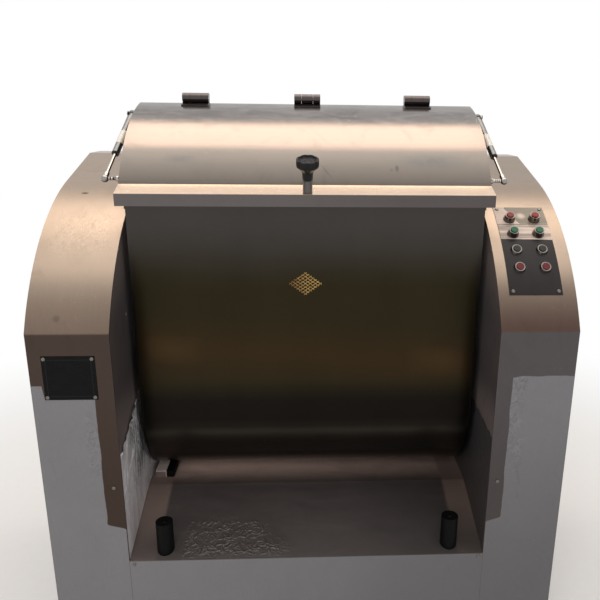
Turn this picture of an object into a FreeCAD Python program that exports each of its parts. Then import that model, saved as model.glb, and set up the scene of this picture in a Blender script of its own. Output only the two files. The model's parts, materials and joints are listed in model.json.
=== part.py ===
import FreeCAD, Part
import math
import os

# Horizontal dough mixer with a tilting trough, in millimetres.
# X runs to the right as the operator sees it, Y to the rear and Z up from the floor.
# Shapes are drawn with Y = 0 on the front face. When they are saved they are moved so that
# the origin is on the floor, in the middle of the floor anchor pattern.

# Housings and base
gap_between_housings = 882.0
housing_width = 184.0
housing_depth = 660.0
floor_clearance = 60.0
front_face_top_z = 900.0
crown_radius = 570.0
crown_front_lean_deg = 63.93
crown_end_lean_deg = 16.0
rear_flat_depth = 97.0
housing_sheet = 2.0
flange_width = 12.0
panel_clearance = 0.3
inner_panel_low_z = 290.0
beam_size = 50.0
beam_wall = 4.0
frame_clearance = 2.0
motor_rail_pitch = 200.0

# Floor feet
foot_length = 100.0
foot_depth = 46.0
foot_thickness = 8.0
foot_centre_x = 560.0
foot_stem_radius = 12.0
foot_stem_inset = 30.0
foot_nut_radius = 19.0
foot_nut_height = 12.0
anchor_hole_radius = 7.0
anchor_hole_inset = 22.0

# Tray, bumpers and rest block between the housings
tray_front_z = 308.0
tray_rear_z = 378.0
tray_slope_length = 230.0
base_panel_sheet = 2.0
rear_panel_top_z = 620.0
bumper_radius = 21.0
bumper_x = 358.0
bumper_y = 32.0
bumper_bolt_radius = 4.0
bumper_bolt_head_radius = 8.0
bumper_bolt_grip = 92.0
bumper_bolt_sink = 4.0
rest_block_x = -405.0
rest_block_ahead = 88.0
rest_block_width = 50.0
rest_block_depth = 65.0
tilted_trough_clearance = 0.5

# Trough, which tilts about the mixing shaft
trough_rear_room = 30.0
trough_floor_gap = 20.0
trough_length = 850.0
trough_radius = 240.0
trough_sheet = 3.0
trough_end_thickness = 6.0
trunnion_radius = 50.0
trunnion_hole_clearance = 2.0
left_trunnion_length = 67.0
right_trunnion_length = 91.0
panel_trunnion_hole_radius = 58.0
rim_depth = 19.0
rim_drop = 11.0
rim_height = 14.0
latch_flange_depth = 28.0
latch_flange_sheet = 3.0
hood_fall = 60.0
hood_sheet = 2.0
hood_fold = 22.0

# Lid
lid_length = 868.0
lid_sheet = 2.0
lid_end_sheet = 3.0
lid_end_depth = 14.0
lid_crown_radius = 414.0
lid_crown_front_lean_deg = 57.46
lid_crown_rear_lean_deg = 13.6
lid_rear_run = 12.0
lid_lip_overhang = 52.0
lid_lip_rise = 559.0
lid_lip_height = 28.0
lid_ledge_depth = 45.0
lid_ledge_lean_deg = 20.37
lid_seat_clearance = 0.5
lid_edge_clearance = 2.0
trough_top_clearance = 4.0
strut_ear_radius = 12.0

# Lid hinges
hinge_pitch = 290.0
hinge_width = 68.0
hinge_barrel_radius = 12.5
hinge_pin_radius = 4.0
hinge_leaf_length = 30.0
hinge_leaf_thickness = 3.0
hinge_knuckle_share = 0.44
hinge_end_clearance = 0.5

# Gas springs
strut_upper_x = 451.0
strut_upper_lean_deg = 15.84
strut_upper_inset = 22.1
strut_lower_x = 468.0
strut_lower_lean_deg = 54.94
strut_lower_inset = 8.4
strut_tube_radius = 9.0
strut_tube_end = 172.0
strut_tube_start = 20.0
strut_rod_radius = 4.0
strut_rod_start = 60.0
strut_rod_end_clearance = 10.0
strut_ball_radius = 9.0
strut_neck_radius = 6.0
strut_pin_radius = 4.0
strut_nut_radius = 7.0
strut_nut_height = 6.0
strut_stop_radius = 6.0
strut_stop_height = 3.0

# Latch knob on the lid's ledge
latch_ledge_inset = 14.0
latch_bush_radius = 11.0
latch_bush_height = 30.0
latch_spindle_radius = 5.0
latch_neck_height = 26.0
latch_neck_low_radius = 10.0
latch_neck_high_radius = 14.0
latch_head_radius = 25.0
latch_head_height = 24.0
latch_skirt_height = 8.0
latch_lobes = 8
latch_lobe_cut_radius = 7.0
latch_tongue_length = 32.0
latch_tongue_width = 12.0
latch_tongue_thickness = 6.0
latch_tongue_clearance = 8.0

# Mixing shaft and kneading paddles
shaft_radius = 25.0
shaft_left_end_x = -548.0
shaft_right_end_x = 505.0
paddle_count = 6
paddle_pitch = 130.0
paddle_step_deg = 60.0
paddle_hub_radius = 42.0
paddle_hub_width = 50.0
paddle_arm_size = 26.0
paddle_blade_length = 110.0
paddle_blade_thickness = 14.0
paddle_blade_depth = 60.0
paddle_tip_radius = 224.0
seal_radius = 42.0
seal_width = 10.0

# Main bearings on the bearing plates
bearing_plate_thickness = 12.0
bearing_plate_front_y = 60.0
bearing_plate_top_z = 900.0
motor_shaft_hole_radius = 60.0
bearing_radius = 95.0
bearing_flange = 12.0
bearing_hub_radius = 70.0
bearing_length = 30.0

# Mixing drive in the left housing
gear_module = 4.0
gear_backlash = 0.3
gear_root_clearance = 0.25
pressure_angle_deg = 20.0
main_gear_teeth = 72
drive_pinion_teeth = 18
main_gear_x = -540.0
main_gear_width = 38.0
countershaft_radius = 17.5
countershaft_end_x = -598.0
cartridge_radius = 40.0
cartridge_flange_radius = 62.0
cartridge_length = 38.0
pulley_x = -592.0
pulley_width = 40.0
counter_pulley_radius = 120.0
motor_pulley_radius = 42.0
belt_width = 12.0
belt_thickness = 8.0
belt_pitch = 18.0
belt_clearance = 0.5

# Main motor under the tray
motor_behind_axis = 10.0
motor_rise = 105.0
motor_radius = 80.0
motor_left_x = -395.0
motor_length = 270.0
motor_shaft_radius = 14.0
motor_shaft_end_x = -596.0
motor_fins = 20
motor_fin_height = 8.0
motor_fin_thickness = 4.0
motor_foot_width = 30.0
motor_shaft_pocket = 60.0
weld_overlap = 1.0

# Tilt drive in the right housing
tilt_gear_teeth = 60
tilt_pinion_teeth = 15
tilt_gear_x = 488.0
tilt_gear_width = 25.0
tilt_shaft_radius = 12.5
tilt_shaft_below_top = 25.0
tilt_box_x = 522.0
tilt_box_width = 90.0
tilt_box_size = 110.0
tilt_motor_radius = 48.0
tilt_motor_length = 150.0

# Electrical box and cable gland in the right housing
electrical_box_rear_gap = 80.0
electrical_box_gear_gap = 38.0
electrical_box_width = 110.0
electrical_box_depth = 240.0
electrical_box_height = 230.0
electrical_box_wall = 2.0
electrical_entry_radius = 12.0
electrical_entry_inset = 44.0
gland_x = 540.0
gland_z = 190.0
gland_bore_radius = 7.0
gland_thread_radius = 12.0
gland_nut_radius = 17.0
gland_length = 22.0
gland_dome_low_radius = 13.6
gland_dome_high_radius = 9.0

# Control plate and push buttons on the right housing
control_plate_centre_x = 530.0
control_plate_width = 126.0
control_plate_length = 264.0
control_plate_low_arc = 86.0
control_plate_thickness = 1.5
control_row_pitch = 49.0
control_top_row_arc = 47.0
control_column_pitch = 62.0
control_rows = 4
control_tall_rows = 2
control_screw_inset = 9.0
control_window_inset = 18.0
button_barrel_radius = 11.0
button_hole_clearance = 0.2
button_bezel_radius = 14.5
button_bezel_lip = 1.0
button_bezel_height = 6.0
button_tall_bezel_height = 15.0
button_cap_radius = 9.0
button_cap_clearance = 0.3
button_cap_rise = 2.5
button_cap_length = 18.0
button_travel = 4.0
button_spring_room = 1.0
button_barrel_length = 26.0
contact_block_size = 28.0
contact_block_length = 34.0

# Nameplate and small screws
nameplate_x = -536.0
nameplate_z = 795.0
nameplate_width = 118.0
nameplate_height = 105.0
nameplate_thickness = 1.5
nameplate_screw_inset = 6.0
screw_head_radius = 4.5
screw_head_height = 2.5
screw_head_round = 1.75
screw_shank_radius = 2.5
screw_shank_length = 7.0
screw_hole_clearance = 0.2
side_screw_arc = 212.0
front_screw_x = 462.0
front_screw_z = 513.0
base_screw_x = 430.0
base_screw_z = 298.0

# Small fits
seat_fit = 0.02
running_fit = 0.05
seal_fit = 0.3

# Worked out from the sizes above
inner_x = gap_between_housings / 2
outer_x = inner_x + housing_width
half_trough = trough_length / 2
half_lid = lid_length / 2
frame_top_z = floor_clearance + beam_size
crown_front_lean = math.radians(crown_front_lean_deg)
crown_centre_y = crown_radius * math.sin(crown_front_lean)
crown_centre_z = front_face_top_z - crown_radius * math.cos(crown_front_lean)
axis_y = housing_depth - trough_rear_room - trough_radius
axis_z = tray_rear_z + trough_floor_gap + trough_radius
plate_inner_x = inner_x + housing_sheet
plate_outer_x = plate_inner_x + bearing_plate_thickness
bearing_end_x = plate_outer_x + bearing_length
gear_distance = gear_module * (main_gear_teeth + drive_pinion_teeth) / 2
countershaft_z = axis_z - gear_distance
tilt_gear_distance = gear_module * (tilt_gear_teeth + tilt_pinion_teeth) / 2
tilt_shaft_z = axis_z - tilt_gear_distance
trough_front_y = axis_y - trough_radius
trough_rear_y = axis_y + trough_radius
tilted_wall_z = axis_z - trough_radius
motor_y = axis_y + motor_behind_axis
motor_z = frame_top_z + motor_rise
lid_lip_y = trough_front_y - lid_lip_overhang
lid_lip_high_z = axis_z + lid_lip_rise
lid_lip_low_z = lid_lip_high_z - lid_lip_height
rim_low_z = lid_lip_low_z - rim_drop
ledge_lean = math.radians(lid_ledge_lean_deg)
lid_ledge_rear_y = lid_lip_y + lid_ledge_depth
ledge_rear_z = lid_lip_high_z + lid_ledge_depth * math.tan(ledge_lean)
lid_front_lean = math.radians(lid_crown_front_lean_deg)
lid_rear_lean = math.radians(lid_crown_rear_lean_deg)
lid_centre_y = lid_ledge_rear_y + lid_crown_radius * math.sin(lid_front_lean)
lid_centre_z = ledge_rear_z - lid_crown_radius * math.cos(lid_front_lean)
lid_rear_y = (lid_centre_y - lid_crown_radius * math.sin(lid_rear_lean)
              + lid_rear_run * math.cos(lid_rear_lean))
lid_rear_z = (lid_centre_z + lid_crown_radius * math.cos(lid_rear_lean)
              + lid_rear_run * math.sin(lid_rear_lean))
hinge_y = lid_rear_y + lid_edge_clearance
hinge_z = lid_rear_z + hinge_barrel_radius + hinge_end_clearance
hood_front_y = hinge_y + lid_edge_clearance
hood_lean = math.atan2(-hood_fall, trough_rear_y - hood_front_y)


def box(x0, x1, y0, y1, z0, z1):
    """Block between two corners."""
    return Part.makeBox(x1 - x0, y1 - y0, z1 - z0, FreeCAD.Vector(x0, y0, z0))


def bar(radius, x0, x1, y, z):
    """Round bar along X."""
    start = FreeCAD.Vector(min(x0, x1), y, z)
    return Part.makeCylinder(radius, abs(x1 - x0), start, FreeCAD.Vector(1, 0, 0))


def post(radius, x, y, z0, z1):
    """Round bar along Z."""
    return Part.makeCylinder(radius, z1 - z0, FreeCAD.Vector(x, y, z0))


def ring(outer, inner, x0, x1, y, z):
    """Round tube along X."""
    return bar(outer, x0, x1, y, z).cut(bar(inner, x0, x1, y, z))


def outline(points):
    """Closed wire in the YZ plane.

    A point is (y, z) for a straight run, or (middle, end) with two points for an arc.
    """
    edges = []
    start = points[0]
    here = start
    for point in list(points[1:]) + [start]:
        curved = isinstance(point[0], tuple)
        end = point[1] if curved else point
        a = FreeCAD.Vector(0, here[0], here[1])
        b = FreeCAD.Vector(0, end[0], end[1])
        if curved:
            middle = FreeCAD.Vector(0, point[0][0], point[0][1])
            edges.append(Part.Arc(a, middle, b).toShape())
        elif a.distanceToPoint(b) > 1e-6:
            edges.append(Part.makeLine(a, b))
        here = end
    return Part.Wire(edges)


def slab(points, x0, x1):
    """Plate with a YZ outline between two X planes."""
    shape = Part.Face(outline(points)).extrude(FreeCAD.Vector(x1 - x0, 0, 0))
    shape.translate(FreeCAD.Vector(x0, 0, 0))
    return shape


def mirrored(shape):
    """The same piece on the other side of the machine."""
    return shape.mirror(FreeCAD.Vector(0, 0, 0), FreeCAD.Vector(1, 0, 0))


def fused(shapes):
    """One solid from touching pieces."""
    return shapes[0].multiFuse(shapes[1:]).removeSplitter()


def placed(shape, x, y, z, lean_deg):
    """Piece drawn along Z at the origin, leant towards the front and moved to its place."""
    result = shape.copy()
    result.rotate(FreeCAD.Vector(0, 0, 0), FreeCAD.Vector(1, 0, 0), lean_deg)
    result.translate(FreeCAD.Vector(x, y, z))
    return result


def circle_point(centre, radius, angle):
    """Point on a circle in the YZ plane, at an angle from +Y towards +Z."""
    return (centre[0] + radius * math.cos(angle), centre[1] + radius * math.sin(angle))


def lid_point(inset, lean):
    """Point inside the lid's crown by an inset, leant from upright towards the front."""
    centre = (lid_centre_y, lid_centre_z)
    return circle_point(centre, lid_crown_radius - inset, math.pi / 2 + lean)


def lid_lean_at(inset, y):
    """Lean at which the crown, moved inwards by an inset, reaches a depth y."""
    return math.asin((lid_centre_y - y) / (lid_crown_radius - inset))


def save(name, shape):
    """Write one sub-part with the origin on the floor under the machine's middle."""
    result = shape.copy()
    result.translate(FreeCAD.Vector(0, -housing_depth / 2, 0))
    result.exportStep("parts/" + name + ".step")


def save_group(name, shapes):
    """Write separate solids of one kind as one sub-part."""
    save(name, Part.makeCompound(shapes))


def crown_point(arc_length, rise=0.0):
    """Point on a housing's curved top, by its distance along the curve from the front edge."""
    lean = crown_front_lean - arc_length / crown_radius
    y = crown_centre_y - (crown_radius + rise) * math.sin(lean)
    z = crown_centre_z + (crown_radius + rise) * math.cos(lean)
    return y, z, math.degrees(lean)


def housing_profile(inset, low_z):
    """Side outline of a housing, moved inwards by an inset."""
    radius = crown_radius - inset
    front_y = inset
    front_z = crown_centre_z + math.sqrt(radius ** 2 - (crown_centre_y - front_y) ** 2)
    end_lean = math.radians(crown_end_lean_deg)
    front_lean = math.asin((crown_centre_y - front_y) / radius)
    middle_lean = (end_lean + front_lean) / 2
    centre = (crown_centre_y, crown_centre_z)
    middle = circle_point(centre, radius, math.pi / 2 + middle_lean)
    end = circle_point(centre, radius, math.pi / 2 + end_lean)
    top_y = housing_depth - rear_flat_depth - inset * math.tan(end_lean / 2)
    top_z = end[1] + (top_y - end[0]) * math.tan(end_lean)
    rear_y = housing_depth - inset
    return [(front_y, low_z), (front_y, front_z), (middle, end), (top_y, top_z),
            (rear_y, top_z), (rear_y, low_z)]


def screw_places():
    """Every small screw as (x, y, z, outward direction)."""
    front = FreeCAD.Vector(0, -1, 0)
    rear = FreeCAD.Vector(0, 1, 0)
    places = []
    for side in (-1, 1):
        outwards = FreeCAD.Vector(side, 0, 0)
        inwards = FreeCAD.Vector(-side, 0, 0)
        places.append((side * front_screw_x, 0, front_screw_z, front))
        places.append((side * base_screw_x, 0, base_screw_z, front))
        places.append((side * base_screw_x, 0, frame_top_z - beam_size / 2, front))
        places.append((side * base_screw_x, housing_depth, rear_panel_top_z - flange_width, rear))
        places.append((side * base_screw_x, housing_depth, frame_top_z - beam_size / 2, rear))
        flange_middle = housing_sheet + flange_width / 2
        for y in (flange_middle, housing_depth - flange_middle):
            for z in (frame_top_z + beam_size, (frame_top_z + front_face_top_z) / 2,
                      front_face_top_z - beam_size):
                places.append((side * outer_x, y, z, outwards))
        y, z, lean = crown_point(side_screw_arc, -flange_middle)
        places.append((side * inner_x, y, z, inwards))
        places.append((side * outer_x, y, z, outwards))
        plate_x = control_plate_centre_x + side * (control_plate_width / 2 - control_screw_inset)
        for arc in (control_screw_inset, control_plate_length - control_screw_inset):
            y, z, lean = crown_point(control_plate_low_arc + arc, control_plate_thickness)
            lean = math.radians(lean)
            places.append((plate_x, y, z, FreeCAD.Vector(0, -math.sin(lean), math.cos(lean))))
        name_x = nameplate_x + side * (nameplate_width / 2 - nameplate_screw_inset)
        for end in (-1, 1):
            z = nameplate_z + end * (nameplate_height / 2 - nameplate_screw_inset)
            places.append((name_x, -nameplate_thickness, z, front))
    return places


def screws():
    """Pan head screws with their heads on the sheets."""
    shapes = []
    for x, y, z, out in screw_places():
        place = FreeCAD.Vector(x, y, z)
        head = Part.makeCylinder(screw_head_radius, screw_head_height, place, out)
        rim = [e for e in head.Edges if e.Curve.TypeId == "Part::GeomCircle"]
        rim.sort(key=lambda e: e.Curve.Center.sub(place).dot(out))
        head = head.makeFillet(min(screw_head_round, screw_head_height * 0.9), [rim[-1]])
        shank = Part.makeCylinder(screw_shank_radius, screw_shank_length, place, out.negative())
        shapes.append(head.fuse(shank).removeSplitter())
    return shapes


def screw_holes():
    """Clearance holes for every small screw."""
    radius = screw_shank_radius + screw_hole_clearance
    reach = 2 * screw_shank_length
    shapes = []
    for x, y, z, out in screw_places():
        start = FreeCAD.Vector(x, y, z).sub(FreeCAD.Vector(out).multiply(reach))
        shapes.append(Part.makeCylinder(radius, 2 * reach, start, out))
    return Part.makeCompound(shapes)


def housing_wrap(holes):
    """Front, curved top and rear sheet of the right housing, with its inner flanges."""
    outer = slab(housing_profile(0, floor_clearance), inner_x, outer_x)
    hollow = slab(housing_profile(housing_sheet, floor_clearance - housing_sheet), inner_x, outer_x)
    wrap = outer.cut(hollow)
    flange_low = frame_top_z + frame_clearance
    for x0 in (inner_x + housing_sheet, outer_x - 2 * housing_sheet):
        flange = slab(housing_profile(housing_sheet, flange_low), x0, x0 + housing_sheet)
        window = housing_profile(housing_sheet + flange_width, flange_low - housing_sheet)
        wrap = wrap.fuse(flange.cut(slab(window, x0, x0 + housing_sheet)))
    return wrap.removeSplitter().cut(holes)


def button_places():
    """Centre of each control as (row, column, x, arc length from the front edge)."""
    places = []
    top_arc = control_plate_low_arc + control_plate_length - control_top_row_arc
    for row in range(control_rows):
        for column in (-1, 1):
            x = control_plate_centre_x + column * control_column_pitch / 2
            places.append((row, column, x, top_arc - row * control_row_pitch))
    return places


def at_button(shape, x, arc):
    """Place a control drawn along Z on the face of the control plate."""
    y, z, lean = crown_point(arc, control_plate_thickness)
    return placed(shape, x, y, z, lean)


def button_holes():
    """Holes for the controls through the plate."""
    reach = button_barrel_length / 2
    hole = Part.makeCylinder(button_barrel_radius + button_hole_clearance, 2 * reach,
                             FreeCAD.Vector(0, 0, -reach))
    return Part.makeCompound([at_button(hole, x, arc) for row, column, x, arc in button_places()])


def control_window():
    """Opening in the housing behind the control plate, for the controls' barrels."""
    inset = control_window_inset
    band = crown_band(control_plate_low_arc + inset,
                      control_plate_low_arc + control_plate_length - inset,
                      -2 * housing_sheet, housing_sheet)
    half = control_plate_width / 2 - inset
    return slab(band, control_plate_centre_x - half, control_plate_centre_x + half)


def control_plate(holes):
    """Curved plate that follows the housing's top."""
    plate = slab(crown_band(control_plate_low_arc, control_plate_low_arc + control_plate_length,
                            0, control_plate_thickness),
                 control_plate_centre_x - control_plate_width / 2,
                 control_plate_centre_x + control_plate_width / 2)
    return plate.cut(button_holes()).cut(holes)


def crown_band(low_arc, high_arc, low_rise, high_rise):
    """Outline of a band on the curved top between two distances along it."""
    middle_arc = (low_arc + high_arc) / 2
    points = [crown_point(low_arc, low_rise)[:2]]
    points.append((crown_point(middle_arc, low_rise)[:2], crown_point(high_arc, low_rise)[:2]))
    points.append(crown_point(high_arc, high_rise)[:2])
    points.append((crown_point(middle_arc, high_rise)[:2], crown_point(low_arc, high_rise)[:2]))
    return points


def bezel_height(row):
    """The two upper rows have tall bezels."""
    return button_tall_bezel_height if row < control_tall_rows else button_bezel_height


def cap_depth(row):
    """Depth of the pocket that a cap slides in, below the plate's face."""
    return (button_cap_length - bezel_height(row) - button_cap_rise
            + button_travel + button_spring_room)


def button_body(row):
    """Bezel, threaded barrel and contact block of one control, along Z."""
    height = bezel_height(row)
    bezel = Part.makeCone(button_bezel_radius, button_barrel_radius + button_bezel_lip, height)
    barrel = Part.makeCylinder(button_barrel_radius, button_barrel_length,
                               FreeCAD.Vector(0, 0, -button_barrel_length))
    half = contact_block_size / 2
    low = -button_barrel_length - contact_block_length
    block = box(-half, half, -half, half, low, -button_barrel_length)
    depth = cap_depth(row)
    pocket = Part.makeCylinder(button_cap_radius + button_cap_clearance, depth + height,
                               FreeCAD.Vector(0, 0, -depth))
    return fused([bezel, barrel, block]).cut(pocket)


def button_cap(row):
    """Cap that slides in a bezel, along Z."""
    top = bezel_height(row) + button_cap_rise
    cap = Part.makeCylinder(button_cap_radius, button_cap_length,
                            FreeCAD.Vector(0, 0, top - button_cap_length))
    rim = [e for e in cap.Edges if abs(e.CenterOfMass.z - top) < 1e-6]
    return cap.makeFillet(button_cap_rise / 2, rim)


def lamp_lens(row):
    """Fixed lens of a signal lamp, along Z, seated on the floor of its pocket."""
    top = bezel_height(row) + button_cap_rise
    depth = cap_depth(row)
    lens = Part.makeCylinder(button_cap_radius + button_cap_clearance - seat_fit, top + depth,
                             FreeCAD.Vector(0, 0, -depth))
    rim = [e for e in lens.Edges if abs(e.CenterOfMass.z - top) < 1e-6]
    return lens.makeFillet(button_cap_rise / 2, rim)


def controls():
    """Write the control plate's buttons and lamps."""
    names = (("red_stop_button_left", "red_stop_button_right"),
             ("green_start_button_left", "green_start_button_right"),
             ("black_tilt_button_left", "black_tilt_button_right"))
    bodies = []
    lamps = []
    for row, column, x, arc in button_places():
        bodies.append(at_button(button_body(row), x, arc))
        if row < len(names):
            save(names[row][(column + 1) // 2], at_button(button_cap(row), x, arc))
        else:
            lamps.append(at_button(lamp_lens(row), x, arc))
    save_group("button_bodies", bodies)
    save_group("signal_lamps", lamps)


def housings():
    """Write the sheets of both housings and what is fixed on them."""
    holes = screw_holes()
    wrap = housing_wrap(holes)
    gland_hole = Part.makeCylinder(gland_thread_radius + seat_fit, 2 * gland_length,
                                   FreeCAD.Vector(gland_x, housing_depth - gland_length, gland_z),
                                   FreeCAD.Vector(0, 1, 0))
    save("right_housing_shell", wrap.cut(control_window()).cut(gland_hole))
    save("left_housing_shell", mirrored(housing_wrap(mirrored(holes))))
    inset = housing_sheet + panel_clearance
    panel = slab(housing_profile(inset, inner_panel_low_z), inner_x, inner_x + housing_sheet)
    panel = panel.cut(bar(panel_trunnion_hole_radius, inner_x, outer_x, axis_y, axis_z))
    cover = slab(housing_profile(inset, floor_clearance), outer_x - housing_sheet, outer_x)
    save("right_inner_panel", panel.cut(holes))
    save("right_side_cover", cover.cut(holes))
    save("left_inner_panel", mirrored(panel).cut(holes))
    save("left_side_cover", mirrored(cover).cut(holes))
    save("control_plate", control_plate(holes))
    half_width = nameplate_width / 2
    half_height = nameplate_height / 2
    plate = box(nameplate_x - half_width, nameplate_x + half_width, -nameplate_thickness, 0,
                nameplate_z - half_height, nameplate_z + half_height)
    save("nameplate", plate.cut(holes))
    save_group("panel_screws", screws())
    front = box(-inner_x, inner_x, 0, base_panel_sheet, floor_clearance,
                tray_front_z - base_panel_sheet)
    rear = box(-inner_x, inner_x, housing_depth - base_panel_sheet, housing_depth,
               floor_clearance, rear_panel_top_z)
    save("front_base_panel", front.cut(holes))
    save("rear_panel", rear.cut(holes))


def hollow_beam(x0, x1, y0, y1):
    """Square tube of the base frame, open at its ends."""
    beam = box(x0, x1, y0, y1, floor_clearance, frame_top_z)
    low = floor_clearance + beam_wall
    high = frame_top_z - beam_wall
    if x1 - x0 > y1 - y0:
        return beam.cut(box(x0, x1, y0 + beam_wall, y1 - beam_wall, low, high))
    return beam.cut(box(x0 + beam_wall, x1 - beam_wall, y0, y1, low, high))


def base_frame():
    """Welded frame under both housings and the motor."""
    cover_x = outer_x - housing_sheet
    front_y = housing_sheet
    rear_y = housing_depth - housing_sheet
    inner_front = front_y + beam_size
    inner_rear = rear_y - beam_size
    beams = [hollow_beam(-cover_x, cover_x, front_y, inner_front),
             hollow_beam(-cover_x, cover_x, inner_rear, rear_y)]
    motor_middle = motor_left_x + motor_length / 2
    rail_starts = [plate_inner_x, cover_x - beam_size, -plate_inner_x - beam_size, -cover_x]
    for side in (-1, 1):
        rail_starts.append(motor_middle + side * motor_rail_pitch / 2 - beam_size / 2)
    for x in rail_starts:
        beams.append(hollow_beam(x, x + beam_size, inner_front, inner_rear))
    return fused(beams).cut(screw_holes())


def foot_rows():
    """Depth of the front and rear feet."""
    middle = housing_sheet + beam_size / 2
    return middle, housing_depth - middle


def foot(side, y):
    """Foot plate with an anchor hole, a stem and a nut."""
    half = foot_length / 2
    plate = box(-half, half, -foot_depth / 2, foot_depth / 2, 0, foot_thickness)
    stem_x = -half + foot_stem_inset
    stem = post(foot_stem_radius, stem_x, 0, foot_thickness, floor_clearance)
    nut = hexagon(foot_nut_radius, foot_nut_height)
    nut.translate(FreeCAD.Vector(stem_x, 0, floor_clearance - foot_nut_height))
    hole = post(anchor_hole_radius, half - anchor_hole_inset, 0, 0, foot_thickness)
    shape = fused([plate, stem, nut]).cut(hole)
    if side < 0:
        shape = mirrored(shape)
    shape.translate(FreeCAD.Vector(side * foot_centre_x, y, 0))
    return shape


def hexagon(radius, height):
    """Six-sided prism along Z."""
    points = []
    for corner in range(7):
        angle = corner * math.pi / 3
        points.append(FreeCAD.Vector(radius * math.cos(angle), radius * math.sin(angle), 0))
    return Part.Face(Part.makePolygon(points)).extrude(FreeCAD.Vector(0, 0, height))


def tray_profile(low):
    """Side outline of the tray, or of the space from its top down to a lower level."""
    rear_y = housing_depth - base_panel_sheet
    return [(0, tray_front_z), (tray_slope_length, tray_rear_z), (rear_y, tray_rear_z),
            (rear_y, tray_rear_z - low), (tray_slope_length, tray_rear_z - low),
            (0, tray_front_z - low)]


def bumper_top_z():
    """Bumpers end just under the front wall of the tilted trough."""
    return tilted_wall_z - tilted_trough_clearance


def between_housings():
    """Write the tray, the bumpers, their bolts and the rest block."""
    top_z = bumper_top_z()
    below = slab(tray_profile(tray_front_z), -inner_x, inner_x)
    tray = slab(tray_profile(base_panel_sheet), -inner_x, inner_x)
    bumpers = []
    bolts = []
    for side in (-1, 1):
        x = side * bumper_x
        body = post(bumper_radius, x, bumper_y, tray_front_z, top_z).cut(below)
        head_z = top_z - bumper_bolt_sink
        head_low_z = head_z - bumper_bolt_head_radius + bumper_bolt_radius
        head = Part.makeCone(bumper_bolt_radius, bumper_bolt_head_radius, head_z - head_low_z,
                             FreeCAD.Vector(x, bumper_y, head_low_z))
        shank = post(bumper_bolt_radius, x, bumper_y, head_z - bumper_bolt_grip, head_low_z)
        bolts.append(fused([head, shank]))
        hole = post(bumper_bolt_radius + seat_fit, x, bumper_y, head_z - bumper_bolt_grip, top_z)
        mouth = post(bumper_bolt_head_radius + seat_fit, x, bumper_y, head_low_z, top_z)
        bumpers.append(body.cut(hole).cut(mouth))
        tray = tray.cut(hole)
    save_group("bumpers", bumpers)
    save_group("bumper_bolts", bolts)
    save("drip_tray", tray)
    half = rest_block_width / 2
    middle_y = axis_y - rest_block_ahead
    block = box(rest_block_x - half, rest_block_x + half,
                middle_y - rest_block_depth / 2, middle_y + rest_block_depth / 2,
                tray_rear_z, top_z)
    save("rest_block", block)


def bearing_plate():
    """Upright plate in the right housing that carries the trough and the drives."""
    plate = box(plate_inner_x, plate_outer_x, bearing_plate_front_y,
                housing_depth - bearing_plate_front_y, frame_top_z, bearing_plate_top_z)
    shaft_hole = bar(trunnion_radius + trunnion_hole_clearance, inner_x, outer_x, axis_y, axis_z)
    return plate.cut(shaft_hole)


def main_bearing():
    """Flanged bearing on the outer face of the right bearing plate."""
    flange = bar(bearing_radius, plate_outer_x, plate_outer_x + bearing_flange, axis_y, axis_z)
    hub = bar(bearing_hub_radius, plate_outer_x, bearing_end_x, axis_y, axis_z)
    bore = bar(trunnion_radius + running_fit, inner_x, outer_x, axis_y, axis_z)
    return fused([flange, hub]).cut(bore)


def cartridge():
    """Bearing cartridge of the countershaft on the left bearing plate."""
    flange = bar(cartridge_flange_radius, -plate_outer_x - bearing_flange, -plate_outer_x,
                 axis_y, countershaft_z)
    sleeve = bar(cartridge_radius, -plate_outer_x - cartridge_length, -plate_outer_x,
                 axis_y, countershaft_z)
    bore = bar(countershaft_radius + running_fit, -outer_x, -inner_x, axis_y, countershaft_z)
    return fused([flange, sleeve]).cut(bore)


def carriers():
    """Write the bearing plates and the fixed bearings."""
    motor_hole = bar(motor_shaft_hole_radius, -outer_x, -inner_x, motor_y, motor_z)
    save("left_bearing_plate", mirrored(bearing_plate()).cut(motor_hole))
    save("right_bearing_plate", bearing_plate())
    save_group("main_bearings", [mirrored(main_bearing()), main_bearing()])
    save("countershaft_cartridge", cartridge())


def ledge_point(depth, drop):
    """Point under the lid's ledge, by its depth and its distance below the outer face."""
    y = lid_lip_y + depth
    z = lid_lip_high_z + depth * math.tan(ledge_lean) - drop / math.cos(ledge_lean)
    return y, z


def trough_body():
    """Front wall, round bottom and rear wall in one sheet, with the rim."""
    half = half_trough - trough_end_thickness
    seat = lid_sheet + lid_seat_clearance
    rim_y = trough_front_y - lid_lip_y
    front_z = ledge_point(rim_y, seat + latch_flange_sheet / 2)[1]
    rear_z = hood_point(trough_rear_y, hood_sheet)[1]
    inner = trough_radius - trough_sheet
    centre = (axis_y, axis_z)
    wall = slab([(trough_front_y, front_z), (trough_front_y, axis_z),
                 (circle_point(centre, trough_radius, -math.pi / 2), (trough_rear_y, axis_z)),
                 (trough_rear_y, rear_z), (trough_rear_y - trough_sheet, rear_z),
                 (trough_rear_y - trough_sheet, axis_z),
                 (circle_point(centre, inner, -math.pi / 2),
                  (trough_front_y + trough_sheet, axis_z)),
                 (trough_front_y + trough_sheet, front_z)], -half, half)
    rim = box(-half_trough + trough_sheet, half_trough - trough_sheet,
              trough_front_y - rim_depth, trough_front_y, rim_low_z, rim_low_z + rim_height)
    flange = slab([ledge_point(rim_y - latch_flange_depth, seat),
                   ledge_point(rim_y + trough_sheet, seat),
                   ledge_point(rim_y + trough_sheet, seat + latch_flange_sheet),
                   ledge_point(rim_y - latch_flange_depth, seat + latch_flange_sheet)],
                  -half, half)
    return fused([wall, rim, flange])


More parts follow.
